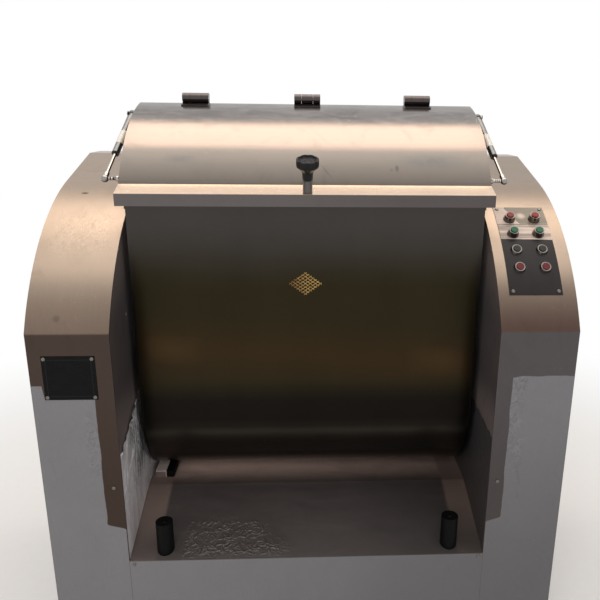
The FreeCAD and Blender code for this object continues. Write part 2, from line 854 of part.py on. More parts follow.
def hood_point(y, drop):
    """Point on the rear hood at a depth y, at a distance below its outer face."""
    z = lid_rear_z + (y - hood_front_y) * math.tan(hood_lean) - drop / math.cos(hood_lean)
    return y, z


def trough_end():
    """Right end plate of the trough."""
    inset = lid_sheet + trough_top_clearance
    corner_y = trough_front_y + trough_sheet
    front_z = ledge_point(corner_y - lid_lip_y, lid_sheet + lid_seat_clearance)[1]
    start_lean = lid_lean_at(inset, corner_y + trough_top_clearance)
    middle_lean = (start_lean + lid_rear_lean) / 2
    return slab([(trough_front_y, axis_z), (trough_front_y, front_z), (corner_y, front_z),
                 lid_point(inset, start_lean),
                 (lid_point(inset, middle_lean), lid_point(inset, lid_rear_lean)),
                 hood_point(hood_front_y, hood_sheet), hood_point(trough_rear_y, hood_sheet),
                 (trough_rear_y, axis_z),
                 (circle_point((axis_y, axis_z), trough_radius, -math.pi / 2),
                  (trough_front_y, axis_z))],
                half_trough - trough_end_thickness, half_trough)


def rear_hood():
    """Fixed sheet behind the hinges, folded down over the rear wall."""
    top = slab([hood_point(hood_front_y, 0), hood_point(trough_rear_y, 0),
                hood_point(trough_rear_y, hood_sheet), hood_point(hood_front_y, hood_sheet)],
               -half_trough, half_trough)
    fold_top = hood_point(trough_rear_y, 0)[1]
    fold = box(-half_trough, half_trough, trough_rear_y, trough_rear_y + hood_sheet,
               fold_top - hood_fold, fold_top)
    return fused([top, fold])


def strut_stud(base_x, end_x, y, z, with_pin):
    """Stud with two nuts on an end plate, for one end of the right gas spring."""
    nut = bar(strut_nut_radius, base_x, base_x + strut_nut_height, y, z)
    pin = bar(strut_pin_radius, base_x, end_x, y, z)
    if not with_pin:
        return fused([nut, pin])
    stop = bar(strut_stop_radius, end_x, end_x + strut_stop_height, y, z)
    return fused([nut, pin, stop])


def trough():
    """Write the pieces that tilt as one body."""
    bore = bar(shaft_radius + running_fit, -outer_x, outer_x, axis_y, axis_z)
    for side, name, length in ((-1, "left_trough_end", left_trunnion_length),
                               (1, "right_trough_end", right_trunnion_length)):
        trunnion = bar(trunnion_radius, half_trough, half_trough + length, axis_y, axis_z)
        end = fused([trough_end(), trunnion])
        if side < 0:
            end = mirrored(end)
        save(name, end.cut(bore))
    save("trough_shell", trough_body())
    save("rear_hood", rear_hood())
    inner = half_trough - trough_end_thickness
    seal = ring(seal_radius, shaft_radius + seal_fit, inner - seal_width, inner, axis_y, axis_z)
    save_group("shaft_seals", [seal, mirrored(seal)])
    end_x = strut_upper_x + strut_ball_radius + seal_fit
    stud = strut_stud(half_trough, end_x, *strut_upper()[1:], True)
    save_group("trough_strut_studs", [stud, mirrored(stud)])


def lid_profile(inset):
    """Points along the lid's outer face, or along its inner face at an inset."""
    front = ledge_point(inset, inset)
    rear_lean = lid_lean_at(inset, lid_ledge_rear_y + inset)
    middle_lean = (rear_lean + lid_rear_lean) / 2
    rear = lid_point(inset, rear_lean)
    middle = lid_point(inset, middle_lean)
    flat = lid_point(inset, lid_rear_lean)
    back_z = flat[1] + (lid_rear_y - flat[0]) * math.tan(lid_rear_lean)
    return (lid_lip_y + inset, lid_lip_low_z), front, rear, middle, flat, (lid_rear_y, back_z)


def lid():
    """Write the lid with its ends, and the studs and bush fixed on it."""
    low, front, rear, middle, flat, back = lid_profile(0)
    low_in, front_in, rear_in, middle_in, flat_in, back_in = lid_profile(lid_sheet)
    sheet = slab([low, front, rear, (middle, flat), back,
                  back_in, flat_in, (middle_in, rear_in), front_in, low_in], -half_lid, half_lid)
    deep = lid_profile(lid_end_depth)
    end_y = deep[2][0]
    ear_centre = strut_lower()[1:]
    end = slab([low, front, rear, (middle, flat), back, deep[5], deep[4], (deep[3], deep[2]),
                (end_y, lid_lip_low_z)], half_lid - lid_end_sheet, half_lid)
    ear = bar(strut_ear_radius, half_lid - lid_end_sheet, half_lid, *ear_centre)
    inside = slab([low, front, rear, (middle, flat), back, (lid_rear_y, lid_lip_low_z)],
                  half_lid - lid_end_sheet, half_lid)
    end = end.fuse(ear.common(inside))
    hole = at_latch(post(latch_spindle_radius + running_fit, 0, 0, -latch_bush_height,
                         latch_bush_height))
    save("lid_shell", fused([sheet, end, mirrored(end)]).cut(hole))
    end_x = strut_lower_x - strut_ball_radius - seal_fit
    stud = strut_stud(half_lid, end_x, *ear_centre, False)
    save_group("lid_strut_studs", [stud, mirrored(stud)])
    bush = post(latch_bush_radius, 0, 0, 0, latch_bush_height)
    save("latch_bush", at_latch(bush).cut(hole))


def at_latch(shape):
    """Place a piece drawn along Z on the lid's ledge, square to it."""
    y, z = ledge_point(latch_ledge_inset, 0)
    return placed(shape, 0, y, z, math.degrees(ledge_lean))


def latch():
    """Write the knob and the spindle with its tongue."""
    low = latch_bush_height + seal_fit
    neck_top = low + latch_neck_height
    head_top = neck_top + latch_head_height
    neck = Part.makeCone(latch_neck_low_radius, latch_neck_high_radius, latch_neck_height,
                         FreeCAD.Vector(0, 0, low))
    skirt = Part.makeCone(latch_neck_high_radius, latch_head_radius, latch_skirt_height,
                          FreeCAD.Vector(0, 0, neck_top))
    head = post(latch_head_radius, 0, 0, neck_top + latch_skirt_height, head_top)
    knob = fused([neck, skirt, head])
    cut_centre = latch_head_radius + latch_lobe_cut_radius / 2
    for lobe in range(latch_lobes):
        angle = 2 * math.pi * lobe / latch_lobes
        knob = knob.cut(post(latch_lobe_cut_radius, cut_centre * math.cos(angle),
                             cut_centre * math.sin(angle), neck_top, head_top))
    spindle_top = neck_top + latch_skirt_height
    knob = knob.cut(post(latch_spindle_radius + seat_fit, 0, 0, low, spindle_top))
    save("latch_knob", at_latch(knob))
    tongue_top = -(lid_sheet + lid_seat_clearance + latch_flange_sheet + latch_tongue_clearance)
    tongue_low = tongue_top - latch_tongue_thickness
    spindle = post(latch_spindle_radius, 0, 0, tongue_low, spindle_top)
    half = latch_tongue_width / 2
    tongue = box(-half, latch_tongue_length - half, -half, half, tongue_low, tongue_top)
    save("latch_spindle", at_latch(fused([spindle, tongue])))


def leaf(direction, side):
    """Hinge leaf on a sheet, from near the barrel outwards, in the YZ plane."""
    edge_y, edge_z, lean = direction
    along = (side * math.cos(lean), side * math.sin(lean))
    normal = (-math.sin(lean), math.cos(lean))
    length = hinge_leaf_length
    thickness = hinge_leaf_thickness
    far = (edge_y + along[0] * length, edge_z + along[1] * length)
    return slab([(edge_y, edge_z), far,
                 (far[0] + normal[0] * thickness, far[1] + normal[1] * thickness),
                 (edge_y + normal[0] * thickness, edge_z + normal[1] * thickness)],
                -hinge_width / 2, hinge_width / 2)


def hinges():
    """Write the hinge leaves with their knuckles, and the pins."""
    half = hinge_width / 2
    middle = half * hinge_knuckle_share
    bore = bar(hinge_pin_radius + running_fit, -half, half, hinge_y, hinge_z)
    lid_edge = (lid_rear_y, lid_rear_z, lid_rear_lean)
    hood_edge = (hood_front_y, lid_rear_z, hood_lean)
    room_radius = hinge_barrel_radius + hinge_end_clearance
    gap = middle + hinge_end_clearance
    lid_part = leaf(lid_edge, -1)
    hood_part = leaf(hood_edge, 1).cut(bar(room_radius, -gap, gap, hinge_y, hinge_z))
    lid_part = lid_part.fuse(bar(hinge_barrel_radius, -middle, middle, hinge_y, hinge_z))
    for side in (-1, 1):
        lid_part = lid_part.cut(bar(room_radius, side * middle, side * half, hinge_y, hinge_z))
        knuckle = bar(hinge_barrel_radius, side * gap, side * half, hinge_y, hinge_z)
        hood_part = hood_part.fuse(knuckle)
    lids = []
    hoods = []
    pins = []
    for place in (-1, 0, 1):
        shift = FreeCAD.Vector(place * hinge_pitch, 0, 0)
        for shape, group in ((lid_part.cut(bore), lids), (hood_part.cut(bore), hoods),
                             (bar(hinge_pin_radius, -half, half, hinge_y, hinge_z), pins)):
            piece = shape.copy()
            piece.translate(shift)
            group.append(piece)
    save_group("lid_hinge_leaves", lids)
    save_group("trough_hinge_leaves", hoods)
    save_group("hinge_pins", pins)


def strut_upper():
    """Centre of the right gas spring's upper ball, on the trough's end."""
    return (strut_upper_x,) + lid_point(strut_upper_inset, math.radians(strut_upper_lean_deg))


def strut_lower():
    """Centre of the right gas spring's lower ball, beside the lid's end."""
    return (strut_lower_x,) + lid_point(strut_lower_inset, math.radians(strut_lower_lean_deg))


def along_strut(shape):
    """Place a piece drawn along Z on the right gas spring, from its upper end downwards."""
    upper = FreeCAD.Vector(*strut_upper())
    lower = FreeCAD.Vector(*strut_lower())
    result = shape.copy()
    turn = FreeCAD.Rotation(FreeCAD.Vector(0, 0, 1), lower.sub(upper))
    result.Placement = FreeCAD.Placement(upper, turn).multiply(result.Placement)
    return result


def struts():
    """Write both gas springs, each a tube and a rod that slides in it."""
    upper = strut_upper()
    length = math.dist(upper, strut_lower())
    ball = Part.makeSphere(strut_ball_radius)
    neck = post(strut_neck_radius, 0, 0, 0, strut_tube_start)
    tube = post(strut_tube_radius, 0, 0, strut_tube_start, strut_tube_end)
    bore = post(strut_rod_radius + seal_fit, 0, 0, strut_rod_start - strut_rod_end_clearance,
                strut_tube_end)
    eye = bar(strut_pin_radius + running_fit, inner_x, outer_x, *upper[1:])
    tube = along_strut(fused([ball, neck, tube]).cut(bore)).cut(eye)
    rod = post(strut_rod_radius, 0, 0, strut_rod_start, length)
    collar = post(strut_neck_radius, 0, 0, length - strut_tube_start, length)
    ball.translate(FreeCAD.Vector(0, 0, length))
    rod = along_strut(fused([rod, collar, ball]))
    save("right_strut_tube", tube)
    save("right_strut_rod", rod)
    save("left_strut_tube", mirrored(tube))
    save("left_strut_rod", mirrored(rod))


def paddle(x, angle):
    """Hub, arm and blade of one kneading paddle."""
    half = paddle_hub_width / 2
    hub = bar(paddle_hub_radius, x - half, x + half, axis_y, axis_z)
    arm_half = paddle_arm_size / 2
    blade_low = paddle_tip_radius - paddle_blade_thickness
    arm = box(x - arm_half, x + arm_half, axis_y - arm_half, axis_y + arm_half,
              axis_z, axis_z + blade_low)
    blade_half = paddle_blade_length / 2
    depth_half = paddle_blade_depth / 2
    blade = box(x - blade_half, x + blade_half, axis_y - depth_half, axis_y + depth_half,
                axis_z + blade_low - paddle_blade_thickness, axis_z + paddle_tip_radius)
    sweep = bar(paddle_tip_radius, x - blade_half, x + blade_half, axis_y, axis_z)
    shape = fused([hub, arm, blade.common(sweep)])
    shape = shape.cut(bar(shaft_radius + seat_fit, x - blade_half, x + blade_half,
                          axis_y, axis_z))
    shape.rotate(FreeCAD.Vector(x, axis_y, axis_z), FreeCAD.Vector(1, 0, 0), angle)
    return shape


def gear(teeth, width, bore, first_tooth_deg):
    """Spur gear along X at the origin, with one tooth centred at an angle from +Y."""
    pressure = math.radians(pressure_angle_deg)
    pitch = gear_module * teeth / 2
    base = pitch * math.cos(pressure)
    tip = pitch + gear_module
    root = pitch - (1 + gear_root_clearance) * gear_module
    half_tooth = (math.pi * gear_module / 2 - gear_backlash) / (2 * pitch)
    involute = math.tan(pressure) - pressure
    flank_start = max(base, root)

    def half_angle(radius):
        local = math.acos(min(1.0, base / radius))
        return half_tooth + involute - (math.tan(local) - local)

    radii = (flank_start, (flank_start + tip) / 2, tip)
    points = []
    for tooth in range(teeth):
        centre = math.radians(first_tooth_deg) + 2 * math.pi * tooth / teeth
        rising = [circle_point((0, 0), r, centre - half_angle(r)) for r in radii]
        falling = [circle_point((0, 0), r, centre + half_angle(r)) for r in radii]
        low = half_angle(flank_start)
        points.append(circle_point((0, 0), root, centre - low))
        if flank_start > root:
            points.append(rising[0])
        points.append((rising[1], rising[2]))
        points.append(falling[2])
        points.append((falling[1], falling[0]))
        if flank_start > root:
            points.append(circle_point((0, 0), root, centre + low))
    return slab(points, 0, width).cut(bar(bore, 0, width, 0, 0))


def moved(shape, x, y, z):
    """The shape shifted from the origin to a place."""
    result = shape.copy()
    result.translate(FreeCAD.Vector(x, y, z))
    return result


def pulley(radius, bore, y, z):
    """Pulley with two belt grooves, along X."""
    shape = ring(radius, bore, pulley_x, pulley_x + pulley_width, y, z)
    groove_half = belt_width / 2 + belt_clearance
    for x in belt_places():
        groove = ring(radius + belt_thickness, radius - belt_thickness,
                      x - groove_half, x + groove_half, y, z)
        shape = shape.cut(groove)
    return shape


def belt_places():
    """Middle of each belt across the pulleys."""
    middle = pulley_x + pulley_width / 2
    return (middle - belt_pitch / 2, middle + belt_pitch / 2)


def belt_loop(low_radius, high_radius, x):
    """Belt around the motor pulley and the countershaft pulley."""
    low = (motor_y, motor_z)
    high = (axis_y, countershaft_z)
    distance = math.hypot(high[0] - low[0], high[1] - low[1])
    heading = math.atan2(high[1] - low[1], high[0] - low[0])

    def loop(extra):
        wrap = math.acos((low_radius - high_radius) / distance)
        a = low_radius + extra
        b = high_radius + extra
        return slab([circle_point(low, a, heading + wrap),
                     (circle_point(low, a, heading + math.pi),
                      circle_point(low, a, heading - wrap)),
                     circle_point(high, b, heading - wrap),
                     (circle_point(high, b, heading), circle_point(high, b, heading + wrap))],
                    x - belt_width / 2, x + belt_width / 2)

    return loop(belt_thickness).cut(loop(0))


def mixing_drive():
    """Write the mixing shaft, its paddles and the drive in the left housing."""
    shaft = bar(shaft_radius, shaft_left_end_x, shaft_right_end_x, axis_y, axis_z)
    save("mixing_shaft", shaft)
    paddles = []
    for index in range(paddle_count):
        x = (index - (paddle_count - 1) / 2) * paddle_pitch
        paddles.append(paddle(x, index * paddle_step_deg))
    save_group("kneading_paddles", paddles)
    main_gear = gear(main_gear_teeth, main_gear_width, shaft_radius + seat_fit, -90)
    save("main_gear", moved(main_gear, main_gear_x, axis_y, axis_z))
    pinion_turn = 90 + 180 / drive_pinion_teeth
    pinion = gear(drive_pinion_teeth, main_gear_width, countershaft_radius, pinion_turn)
    pinion = moved(pinion, main_gear_x, axis_y, countershaft_z)
    shaft_start_x = -plate_outer_x - frame_clearance
    shaft = bar(countershaft_radius, countershaft_end_x, shaft_start_x, axis_y, countershaft_z)
    save("countershaft", fused([shaft, pinion]))
    save("countershaft_pulley", pulley(counter_pulley_radius, countershaft_radius + seat_fit,
                                       axis_y, countershaft_z))
    low_radius = motor_pulley_radius - belt_thickness + belt_clearance
    high_radius = counter_pulley_radius - belt_thickness + belt_clearance
    save_group("drive_belts", [belt_loop(low_radius, high_radius, x) for x in belt_places()])
    save("motor_pulley", fused([pulley(motor_pulley_radius, motor_shaft_radius - weld_overlap,
                                       motor_y, motor_z),
                                bar(motor_shaft_radius, motor_shaft_end_x,
                                    motor_left_x + motor_foot_width, motor_y, motor_z)]))


def main_motor():
    """Motor body with cooling fins and feet on the frame's rails."""
    end_x = motor_left_x + motor_length
    body = bar(motor_radius, motor_left_x, end_x, motor_y, motor_z)
    parts = [body]
    half = motor_fin_thickness / 2
    for fin in range(motor_fins):
        strip = box(motor_left_x + motor_foot_width, end_x - motor_foot_width, -half, half,
                    motor_radius - weld_overlap, motor_radius + motor_fin_height)
        strip.rotate(FreeCAD.Vector(0, 0, 0), FreeCAD.Vector(1, 0, 0), fin * 360 / motor_fins)
        parts.append(moved(strip, 0, motor_y, motor_z))
    middle = motor_left_x + motor_length / 2
    for side in (-1, 1):
        x = middle + side * motor_rail_pitch / 2
        parts.append(box(x - motor_foot_width / 2, x + motor_foot_width / 2,
                         motor_y - motor_radius, motor_y + motor_radius,
                         frame_top_z, motor_z - motor_radius / 2))
    shape = fused(parts)
    pocket = bar(motor_shaft_radius + running_fit, motor_left_x, motor_left_x + motor_shaft_pocket,
                 motor_y, motor_z)
    save("main_motor", shape.cut(pocket))


def tilt_drive():
    """Write the tilt gear, its pinion and the worm gear motor in the right housing."""
    gear_bore = trunnion_radius + seat_fit
    tilt_gear = gear(tilt_gear_teeth, tilt_gear_width, gear_bore, -90)
    save("tilt_gear", moved(tilt_gear, tilt_gear_x, axis_y, axis_z))
    turn = 90 + 180 / tilt_pinion_teeth
    pinion = gear(tilt_pinion_teeth, tilt_gear_width, tilt_shaft_radius, turn)
    pinion = moved(pinion, tilt_gear_x, axis_y, tilt_shaft_z)
    shaft = bar(tilt_shaft_radius, tilt_gear_x, tilt_box_x + tilt_box_width, axis_y, tilt_shaft_z)
    save("tilt_pinion", fused([pinion, shaft]))
    half = tilt_box_size / 2
    top_z = tilt_shaft_z + tilt_shaft_below_top
    case = box(tilt_box_x, tilt_box_x + tilt_box_width, axis_y - half, axis_y + half,
               top_z - tilt_box_size, top_z)
    motor = post(tilt_motor_radius, tilt_box_x + tilt_box_width / 2, axis_y,
                 top_z - tilt_box_size - tilt_motor_length, top_z - tilt_box_size)
    bracket = box(plate_outer_x, tilt_box_x, axis_y - half, axis_y + half,
                  top_z - tilt_box_size, top_z - tilt_box_size + bearing_plate_thickness)
    bore = bar(tilt_shaft_radius + running_fit, inner_x, outer_x, axis_y, tilt_shaft_z)
    save("tilt_gear_motor", fused([case, motor, bracket]).cut(bore))


def electrics():
    """Write the electrical box and the cable gland."""
    wall = electrical_box_wall
    x1 = plate_outer_x + electrical_box_width
    y1 = housing_depth - electrical_box_rear_gap
    y0 = y1 - electrical_box_depth
    z0 = axis_z + gear_module * (tilt_gear_teeth / 2 + 1) + electrical_box_gear_gap
    z1 = z0 + electrical_box_height
    case = box(plate_outer_x, x1, y0, y1, z0, z1)
    hollow = box(plate_outer_x + wall, x1 - wall, y0 + wall, y1 - wall,
                 z0 + wall, z1 - wall)
    entry = post(electrical_entry_radius, (plate_outer_x + x1) / 2, y0 + electrical_entry_inset,
                 z0, z0 + 2 * wall)
    save("electrical_box", case.cut(hollow).cut(entry))
    thread = post(gland_thread_radius, 0, 0, -gland_length, 0)
    nut = hexagon(gland_nut_radius, gland_length / 2)
    dome = Part.makeCone(gland_dome_low_radius, gland_dome_high_radius, gland_length / 2,
                         FreeCAD.Vector(0, 0, gland_length / 2))
    gland = fused([thread, nut, dome]).cut(post(gland_bore_radius, 0, 0, -gland_length,
                                                gland_length))
    save("cable_gland", placed(gland, gland_x, housing_depth, gland_z, -90))


def feet():
    """Write the four feet as one group."""
    save_group("feet", [foot(side, y) for y in foot_rows() for side in (-1, 1)])


def main():
    """Write every sub-part."""
    os.makedirs("parts", exist_ok=True)
    save("base_frame", base_frame())
    feet()
    housings()
    controls()
    between_housings()
    carriers()
    trough()
    lid()
    hinges()
    struts()
    latch()
    mixing_drive()
    main_motor()
    tilt_drive()
    electrics()


main()
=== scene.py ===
import json
import math

import bmesh
import bpy
import numpy as np
from bpy.props import FloatProperty, FloatVectorProperty, IntProperty, PointerProperty
from bpy.types import Operator, Panel, PropertyGroup
from mathutils import Matrix, Vector


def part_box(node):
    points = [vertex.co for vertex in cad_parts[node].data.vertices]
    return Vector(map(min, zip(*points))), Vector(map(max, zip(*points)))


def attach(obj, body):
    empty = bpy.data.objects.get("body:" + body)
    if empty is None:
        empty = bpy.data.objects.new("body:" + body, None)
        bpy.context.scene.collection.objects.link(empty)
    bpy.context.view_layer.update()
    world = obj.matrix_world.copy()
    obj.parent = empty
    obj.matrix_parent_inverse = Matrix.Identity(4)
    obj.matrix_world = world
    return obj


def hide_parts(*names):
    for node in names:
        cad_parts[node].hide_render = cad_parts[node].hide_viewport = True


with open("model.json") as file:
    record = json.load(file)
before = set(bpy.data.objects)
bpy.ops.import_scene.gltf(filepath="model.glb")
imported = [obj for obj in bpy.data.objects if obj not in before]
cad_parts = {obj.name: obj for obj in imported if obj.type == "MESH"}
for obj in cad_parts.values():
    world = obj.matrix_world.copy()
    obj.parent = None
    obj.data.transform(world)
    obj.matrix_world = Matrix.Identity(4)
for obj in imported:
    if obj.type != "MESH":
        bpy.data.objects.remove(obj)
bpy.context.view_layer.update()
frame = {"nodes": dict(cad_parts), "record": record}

bl_info = {
    "name": "Dough Mixer Looks",
    "version": (1, 0, 0),
    "blender": (4, 5, 0),
    "location": "3D View > Sidebar > Dough Mixer",
    "description": "Finishes, protective films, small trim and a studio for the tilting dough mixer",
    "category": "Object",
}

# Heights and sizes in metres that the finishes, the films and the foil follow.
FOLD = 0.900            # fold between a housing's curved top and its flat front
# The lid's warm band is a painted reflection.
LID_BEND = 1.285        # lower edge of the warm band on the lid
# The trough's brown band is a painted reflection of a warm glow.
PAINTED_GLOW = 0.79        # middle of the brown band on the trough's front
PLATE_SEAM = 1.1165     # seam across the clear film on the control plate
TRAY_SLOPE = 0.23       # run of the tray's front slope
TROUGH_RADIUS = 0.240   # outer face of the trough from its axis


class Signal:
    """An output of a node. Arithmetic on it adds maths nodes to the same recipe."""

    def __init__(self, recipe, socket):
        self.recipe = recipe
        self.socket = socket

    def __add__(self, other):
        return self.recipe.maths("ADD", self, other)

    def __radd__(self, other):
        return self.recipe.maths("ADD", other, self)

    def __sub__(self, other):
        return self.recipe.maths("SUBTRACT", self, other)

    def __rsub__(self, other):
        return self.recipe.maths("SUBTRACT", other, self)

    def __mul__(self, other):
        return self.recipe.maths("MULTIPLY", self, other)

    def __rmul__(self, other):
        return self.recipe.maths("MULTIPLY", other, self)

    def __truediv__(self, other):
        return self.recipe.maths("DIVIDE", self, other)

    def __pow__(self, other):
        return self.recipe.maths("POWER", self, other)

    def __abs__(self):
        return self.recipe.maths("ABSOLUTE", self)


class Recipe:
    """Nodes and links of one material or of the surroundings."""

    def __init__(self, owner):
        owner.use_nodes = True
        self.nodes = owner.node_tree.nodes
        self.links = owner.node_tree.links

    def feed(self, socket, value):
        """Link a signal to a socket, or set the socket to a plain value."""
        if isinstance(value, Signal):
            self.links.new(value.socket, socket)
        elif socket.type == "RGBA":
            socket.default_value = (*value, 1.0)
        elif socket.type == "VECTOR" and isinstance(value, (int, float)):
            socket.default_value = (value, value, value)
        else:
            socket.default_value = value

    def node(self, kind, settings, values, output=0):
        """Add a node of one kind with its settings and its inputs, and give back one output."""
        node = self.nodes.new(kind)
        for setting, choice in settings.items():
            setattr(node, setting, choice)
        for key, value in values.items():
            self.feed(node.inputs[key], value)
        return Signal(self, node.outputs[output])

    def sibling(self, signal, output):
        """Another output of the node that a signal comes from."""
        return Signal(self, signal.socket.node.outputs[output])

    def maths(self, operation, first, second=0.0):
        """Scalar maths, or vector maths where either side is a vector."""
        signals = [side for side in (first, second) if isinstance(side, Signal)]
        if any(side.socket.type == "VECTOR" for side in signals):
            kind = "ShaderNodeVectorMath"
        else:
            kind = "ShaderNodeMath"
        return self.node(kind, {"operation": operation}, {0: first, 1: second})


class Finish(Recipe):
    """A node material. What is the same all over is a plain value on the shader's own socket."""

    def __init__(self, name, shader_values):
        self.material = bpy.data.materials.new(name)
        super().__init__(self.material)
        self.shader = self.nodes["Principled BSDF"]
        for socket, value in shader_values.items():
            self.shader.inputs[socket].default_value = value

    def mix(self, factor, first, second):
        """Colour between two colours."""
        return self.node("ShaderNodeMix", {"data_type": "RGBA"}, {0: factor, 6: first, 7: second}, 2)

    def tint(self, colour, factor):
        """Colour made darker or lighter by a factor around 1."""
        return self.node("ShaderNodeMix", {"data_type": "RGBA", "clamp_factor": False},
                         {0: factor, 6: (0.0, 0.0, 0.0), 7: colour}, 2)

    def place(self):
        """Position on the machine in metres."""
        return self.node("ShaderNodeTexCoord", {}, {}, 3)

    def axes(self, vector):
        """The three components of a vector."""
        first = self.node("ShaderNodeSeparateXYZ", {}, {0: vector})
        return first, self.sibling(first, 1), self.sibling(first, 2)

    def cloud(self, vector, scale, detail=4.0, roughness=0.55, distortion=0.0):
        """Soft noise from 0 to 1."""
        return self.node("ShaderNodeTexNoise", {},
                         {"Vector": vector, "Scale": scale, "Detail": detail,
                          "Roughness": roughness, "Distortion": distortion})

    def step(self, value, low, high, start=0.0, end=1.0):
        """Smooth step from start to end as a value goes from low to high."""
        return self.node("ShaderNodeMapRange", {"interpolation_type": "SMOOTHSTEP"},
                         {"Value": value, "From Min": low, "From Max": high,
                          "To Min": start, "To Max": end})

    def band(self, value, centre, half_width):
        """Smooth bump of height 1 round a centre."""
        return self.step(abs(value - centre), half_width, 0.0)

    def spot(self, vector, centre, radius):
        """Smooth round spot of height 1."""
        distance = self.node("ShaderNodeVectorMath", {"operation": "DISTANCE"},
                             {0: vector, 1: centre}, 1)
        return self.step(distance, radius, radius / 3)

    def scratches(self, vector, turn, keep):
        """Thin random streaks: noise drawn out along one turned axis, of which the peaks stay."""
        drawn = self.node("ShaderNodeMapping", {"vector_type": "TEXTURE"},
                          {"Vector": vector, "Rotation": turn, "Scale": (0.16, 0.0035, 0.0035)})
        return self.step(self.cloud(drawn, 1.0, 1.0), keep, keep + 0.05)

    def show(self, colour, roughness, height, depth):
        """Join a colour, a roughness and a relief, whose full height is a depth in metres."""
        self.feed(self.shader.inputs["Base Color"], colour)
        self.feed(self.shader.inputs["Roughness"], roughness)
        relief = self.node("ShaderNodeBump", {}, {"Strength": 1.0, "Distance": depth,
                                                  "Height": height})
        self.feed(self.shader.inputs["Normal"], relief)
        return self.material


def settings(group):
    """One group of the panel's values."""
    return getattr(bpy.context.scene, group)


def dress(material, *nodes):
    """Give CAD nodes a finish."""
    for node in nodes:
        for slot in frame["nodes"][node].material_slots:
            slot.material = material


def surface(name, body, points, material, around=False, outward=None, weld=False):
    """Piece from one grid of points, or from several like grids, in metres.

    Faces join each point with its neighbours in its grid; around joins the last column to the
    first. Open sheets are turned to face the outward direction, closed ones by their volume.
    A piece of the stage rides on no body.
    """
    grids = points.reshape((-1,) + points.shape[-3:])
    copies, rows, columns = grids.shape[:3]
    row, column = np.meshgrid(np.arange(rows - 1), np.arange(columns - (not around)),
                              indexing="ij")
    beside = (column + 1) % columns
    quads = np.stack([row * columns + column, row * columns + beside,
                      (row + 1) * columns + beside, (row + 1) * columns + column], axis=-1)
    starts = np.arange(copies)[:, None, None] * rows * columns
    faces = (quads.reshape(1, -1, 4) + starts).reshape(-1, 4)
    vertices = grids.reshape(-1, 3)
    corners = vertices[faces]
    normals = np.cross(corners[:, 2] - corners[:, 0], corners[:, 3] - corners[:, 1])
    towards = corners.mean(axis=1) - vertices.mean(axis=0) if outward is None else outward
    if (normals * towards).sum() < 0:
        faces = faces[:, ::-1]
    mesh = bpy.data.meshes.new(name)
    mesh.from_pydata(vertices, [], faces)
    if weld:
        work = bmesh.new()
        work.from_mesh(mesh)
        bmesh.ops.remove_doubles(work, verts=work.verts, dist=1e-6)
        work.to_mesh(mesh)
        work.free()
    mesh.polygons.foreach_set("use_smooth", np.ones(len(mesh.polygons), dtype=bool))
    mesh.materials.append(material)
    piece = bpy.data.objects.new(name, mesh)
    bpy.context.collection.objects.link(piece)
    if body:
        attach(piece, body)
    return piece


def joint(name):
    """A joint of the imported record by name."""
    joints = frame["record"]["behaviour"]["joints"]
    return next(one for one in joints if one["name"] == name)


def frame_along(direction):
    """Unit vector of a direction, and two more that are square to it and to each other."""
    axis = np.array(direction) / np.linalg.norm(direction)
    helper = np.array((1.0, 0.0, 0.0)) if abs(axis[0]) < 0.9 else np.array((0.0, 1.0, 0.0))
    side = np.cross(axis, helper)
    side /= np.linalg.norm(side)
    return axis, side, np.cross(axis, side)


def turned(start, direction, heights, radii, columns):
    """Grid of points on a turned shape: a ring of each radius at each height on an axis.

    A radius may also change round its ring.
    """
    axis, side, other = frame_along(direction)
    angle = np.linspace(0, 2 * np.pi, columns, endpoint=False)
    ring = np.cos(angle)[:, None] * side + np.sin(angle)[:, None] * other
    radii = np.reshape(radii, (len(heights), -1, 1))
    return np.array(start) + np.array(heights)[:, None, None] * axis + radii * ring


def ripple(value, seed, pitch, height):
    """Wavy line: a sum of five sines of random phase, each half as long and half as high."""
    chance = np.random.default_rng(seed)
    total = np.zeros_like(value)
    for order in range(5):
        total += np.sin(2 * np.pi * value * 2 ** order / pitch + chance.uniform(0, 6.3)) / 2 ** order
    return total * height / 2


def creases(across, along, seed, count, area, length, width, height):
    """Relief of random creases: each is a bell across its line times a bell along it."""
    chance = np.random.default_rng(seed)
    shape = (count, 1, 1)
    x = chance.uniform(area[0], area[1], shape)
    y = chance.uniform(area[2], area[3], shape)
    angle = chance.uniform(0, np.pi, shape)
    reach = chance.uniform(0.4, 1.0, shape) * length
    rise = chance.uniform(0.2, 1.0, shape) * height
    dx = across[None] - x
    dy = along[None] - y
    far = dx * np.cos(angle) + dy * np.sin(angle)
    off = -dx * np.sin(angle) + dy * np.cos(angle) + far ** 2 * chance.uniform(-3, 3, shape)
    return (rise * np.exp(-(off / width) ** 2 - (far / reach) ** 2)).sum(axis=0)


def swatch(name, description, colour):
    """A colour in the panel."""
    return FloatVectorProperty(name=name, description=description, subtype="COLOR",
                               min=0.0, max=1.0, default=colour)


def length_value(name, description, default, **limits):
    """A length in the panel."""
    return FloatProperty(name=name, description=description, unit="LENGTH", default=default,
                         **limits)


def angle_value(name, description, default):
    """An angle in the panel."""
    return FloatProperty(name=name, description=description, subtype="ANGLE", default=default)


def light_value(name, description, default):
    """A brightness in the panel."""
    return FloatProperty(name=name, description=description, min=0.0, default=default)


